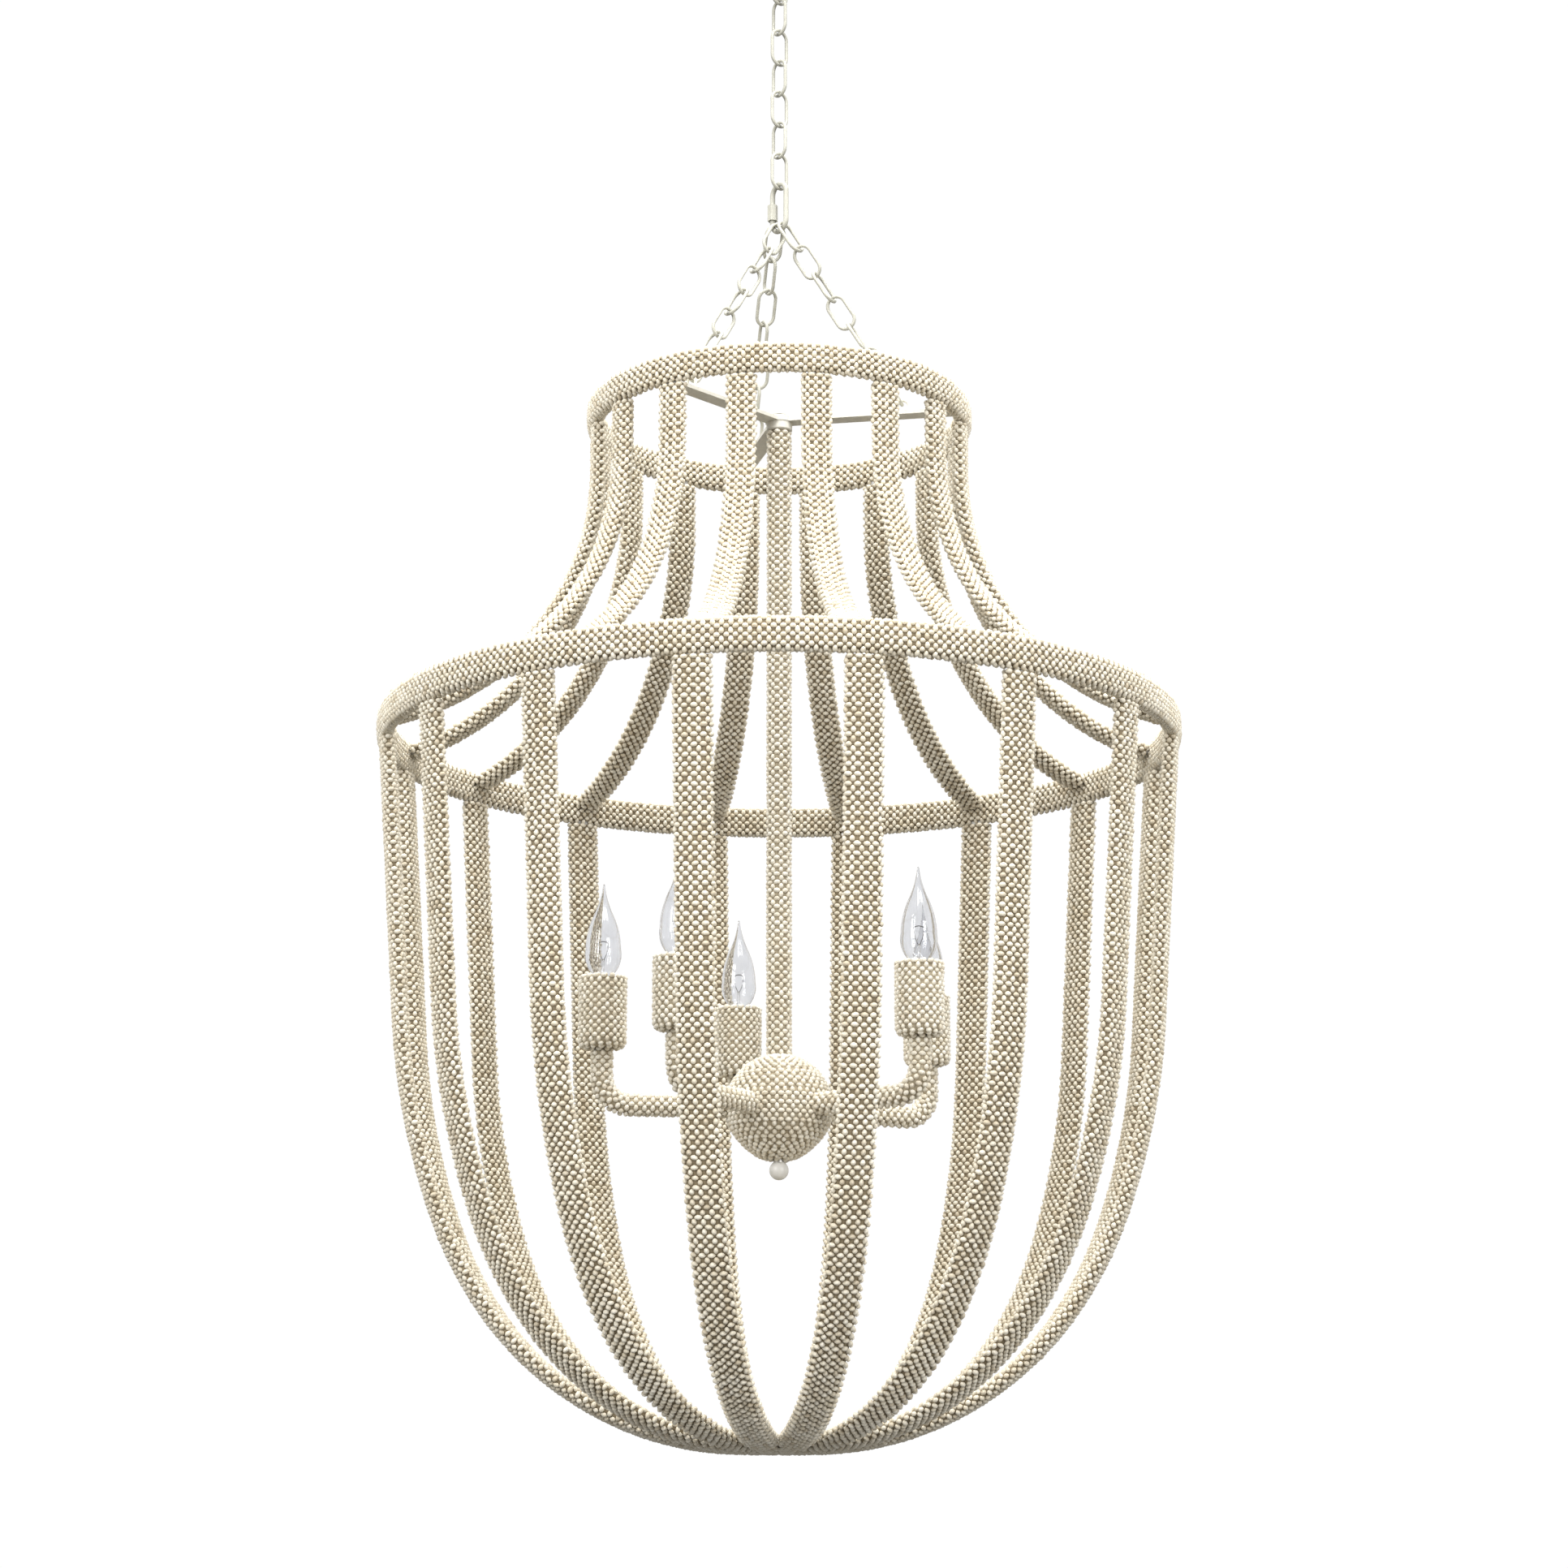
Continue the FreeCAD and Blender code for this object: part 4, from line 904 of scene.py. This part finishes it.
def wire(name, points, radius, material, sides=8):
    """A round wire through points, closed at both ends; radius is one value or one for each point."""
    p = np.array(points)
    path, _ = polyline_path(p, (0.3, 1, 0))
    steps = np.linalg.norm(np.diff(p, axis=0), axis=1)
    middle, _, normal, width = path(np.concatenate([[0], np.cumsum(steps)]))
    a = np.arange(sides) / sides * 2 * math.pi
    spread = normal[:, None] * np.cos(a)[None, :, None] + width[:, None] * np.sin(a)[None, :, None]
    co = middle[:, None] + spread * np.broadcast_to(radius, len(p))[:, None, None]
    k = np.arange(sides)
    m = (k + 1) % sides
    sheets = []
    for start in range(0, (len(p) - 1) * sides, sides):
        sheets.append(np.stack([start + k, start + m, start + sides + m], 1))
        sheets.append(np.stack([start + k, start + sides + m, start + sides + k], 1))
    last = (len(p) - 1) * sides
    sheets.append(np.stack([0 * k[1:-1], k[1:-1] + 1, k[1:-1]], 1))
    sheets.append(np.stack([0 * k[1:-1] + last, last + k[1:-1], last + k[1:-1] + 1], 1))
    ob = mesh_object(name, co.reshape(-1, 3), np.concatenate(sheets))
    ob.data.materials.append(material)
    return ob


def bulb_inside(index):
    """The glass stem, its two lead wires and the coiled filament between them."""
    node = f"bulb_{index}_mount"
    centre = (low(node) + high(node)) / 2
    foot, height = low(node)[2] + 0.2 * MM, high(node)[2] - low(node)[2]
    spot = np.array([centre[0], centre[1], foot])
    points = [spot + UP * height * share for share, _ in GLASS_STEM]
    radii = np.array([radius for _, radius in GLASS_STEM])
    pieces = [wire(f"bulb_{index}_stem", points, radii, GLASS, 20)]
    for side in (-1, 1):
        x = np.array([side, 0, 0.0])
        lead = [
            spot + UP * height * 0.40 + x * 0.6 * MM,
            spot + UP * height * 0.55 + x * LEAD_SPREAD * 0.7,
            spot + UP * height * LEAD_TOP + x * LEAD_SPREAD,
        ]
        pieces.append(wire(f"bulb_{index}_lead_{side + 2}", lead, LEAD_RADIUS, WIRE))
    t = np.linspace(0, 1, COIL_POINTS)
    turn = t * COIL_TURNS * 2 * math.pi
    arch = foot + height * LEAD_TOP + COIL_ARCH * np.sin(t * math.pi)
    coil = np.stack([
        spot[0] + (t * 2 - 1) * LEAD_SPREAD,
        spot[1] + COIL_RADIUS * np.cos(turn),
        arch + COIL_RADIUS * np.sin(turn),
    ], axis=1)
    pieces.append(wire(f"bulb_{index}_filament", coil, COIL_WIRE, WIRE, 6))
    for piece in pieces:
        place(piece, f"bulb_{index}", "filament_wire", node)


for index in range(1, len(ARM_AZIMUTHS) + 1):
    bulb_inside(index)
frame["nodes"]["finial"].data.materials[0] = FINIAL_PAINT
# the chain and quick link take the darkened copy of the white paint: painted shade
for name in frame["nodes"]:
    if "chain" in name or name.startswith("quick_link"):
        frame["nodes"][name].data.materials[0] = SHADED_CHAIN_PAINT

# ------------------------------------------------------------------ camera, light, floor

CAMERA_AT = (0.0045, -2.830, -1.5225)
CAMERA_TILT = 13.016
FLOOR_SIZE, FLOOR_HEIGHT = 16, -2.7
GREYS = [(0.38, (0.06, 0.06, 0.06)), (0.52, (0.76, 0.76, 0.76)), (0.9, (1.0, 1.0, 1.0))]


def build_camera():
    """A camera level with the foot of the bowl, tilted up at the lantern."""
    camera = bpy.data.cameras.new("camera")
    camera.lens = 72.61
    camera.sensor_width = 36
    camera.clip_start, camera.clip_end = 0.05, 60
    eye = bpy.data.objects.new("camera", camera)
    eye.location = CAMERA_AT
    eye.rotation_euler = (math.radians(90 + CAMERA_TILT), 0, 0)
    bpy.context.scene.collection.objects.link(eye)
    bpy.context.scene.camera = eye


def build_floor():
    """A pale floor; what it throws back up at the lantern comes from a dark colour instead, as painted
    shade on the lantern's undersides.
    """
    bpy.ops.mesh.primitive_plane_add(size=FLOOR_SIZE, location=(0, 0, FLOOR_HEIGHT))
    floor = bpy.context.object
    floor.name = "floor"
    mat, nt, shader = new_material("floor")
    pale = ramp(nt, noise(nt, 1.5, 2), [(0.3, (0.60, 0.60, 0.59)), (0.7, (0.64, 0.64, 0.63))])
    # dark colour used only for bounced light: painted shade on the lantern's undersides
    bounce_shade = ramp(nt, noise(nt, 1.5, 2), [(0.3, (0.12, 0.12, 0.12)), (0.7, (0.15, 0.15, 0.15))])
    blend = nt.nodes.new("ShaderNodeMix")
    blend.data_type = "RGBA"
    link(nt, seen_directly(nt), blend.inputs["Factor"])
    link(nt, bounce_shade, blend.inputs["A"])
    link(nt, pale, blend.inputs["B"])
    link(nt, blend.outputs["Result"], shader.inputs["Base Color"])
    shader.inputs["Roughness"].default_value = 0.9
    floor.data.materials.append(mat)


def softbox(name, place_at, aim, size, power):
    """A rectangular studio lamp turned towards a point; sizes in metres, power in watts."""
    lamp = bpy.data.lights.new(name, "AREA")
    lamp.shape = "RECTANGLE"
    lamp.size, lamp.size_y = size
    lamp.energy = power
    ob = bpy.data.objects.new(name, lamp)
    ob.location = place_at
    ob.rotation_euler = (Vector(aim) - Vector(place_at)).to_track_quat("-Z", "Y").to_euler()
    bpy.context.scene.collection.objects.link(ob)


def build_world():
    """A white backdrop whose light comes from above and fades below the horizon."""
    world = bpy.data.worlds.new("studio")
    world.use_nodes = True
    bpy.context.scene.world = world
    tree = world.node_tree
    sky = tree.nodes["Background"]
    sky.inputs["Strength"].default_value = 1.0
    coords = tree.nodes.new("ShaderNodeTexCoord")
    split = tree.nodes.new("ShaderNodeSeparateXYZ")
    link(tree, coords.outputs["Generated"], split.inputs[0])
    height = tree.nodes.new("ShaderNodeMapRange")
    height.inputs["From Min"].default_value = -1
    link(tree, split.outputs["Z"], height.inputs["Value"])
    link(tree, ramp(tree, height.outputs["Result"], GREYS), sky.inputs["Color"])
    backdrop = tree.nodes.new("ShaderNodeBackground")
    backdrop.inputs["Color"].default_value = (1, 1, 1, 1)
    backdrop.inputs["Strength"].default_value = 1.02
    blend = tree.nodes.new("ShaderNodeMixShader")
    link(tree, seen_directly(tree), blend.inputs["Fac"])
    link(tree, sky.outputs[0], blend.inputs[1])
    link(tree, backdrop.outputs[0], blend.inputs[2])
    link(tree, blend.outputs[0], tree.nodes["World Output"].inputs["Surface"])


build_camera()
build_floor()
softbox("overhead", (0.3, -0.8, 1.9), (0, 0, -0.9), (2.6, 2.6), 165)
softbox("front_left", (-2.6, -3.2, 0.4), (0, 0, -0.95), (1.8, 2.2), 112)
softbox("front_right", (2.4, -3.4, -0.2), (0, 0, -0.95), (1.6, 2.0), 84)
build_world()
bpy.context.scene.view_settings.view_transform = "Standard"
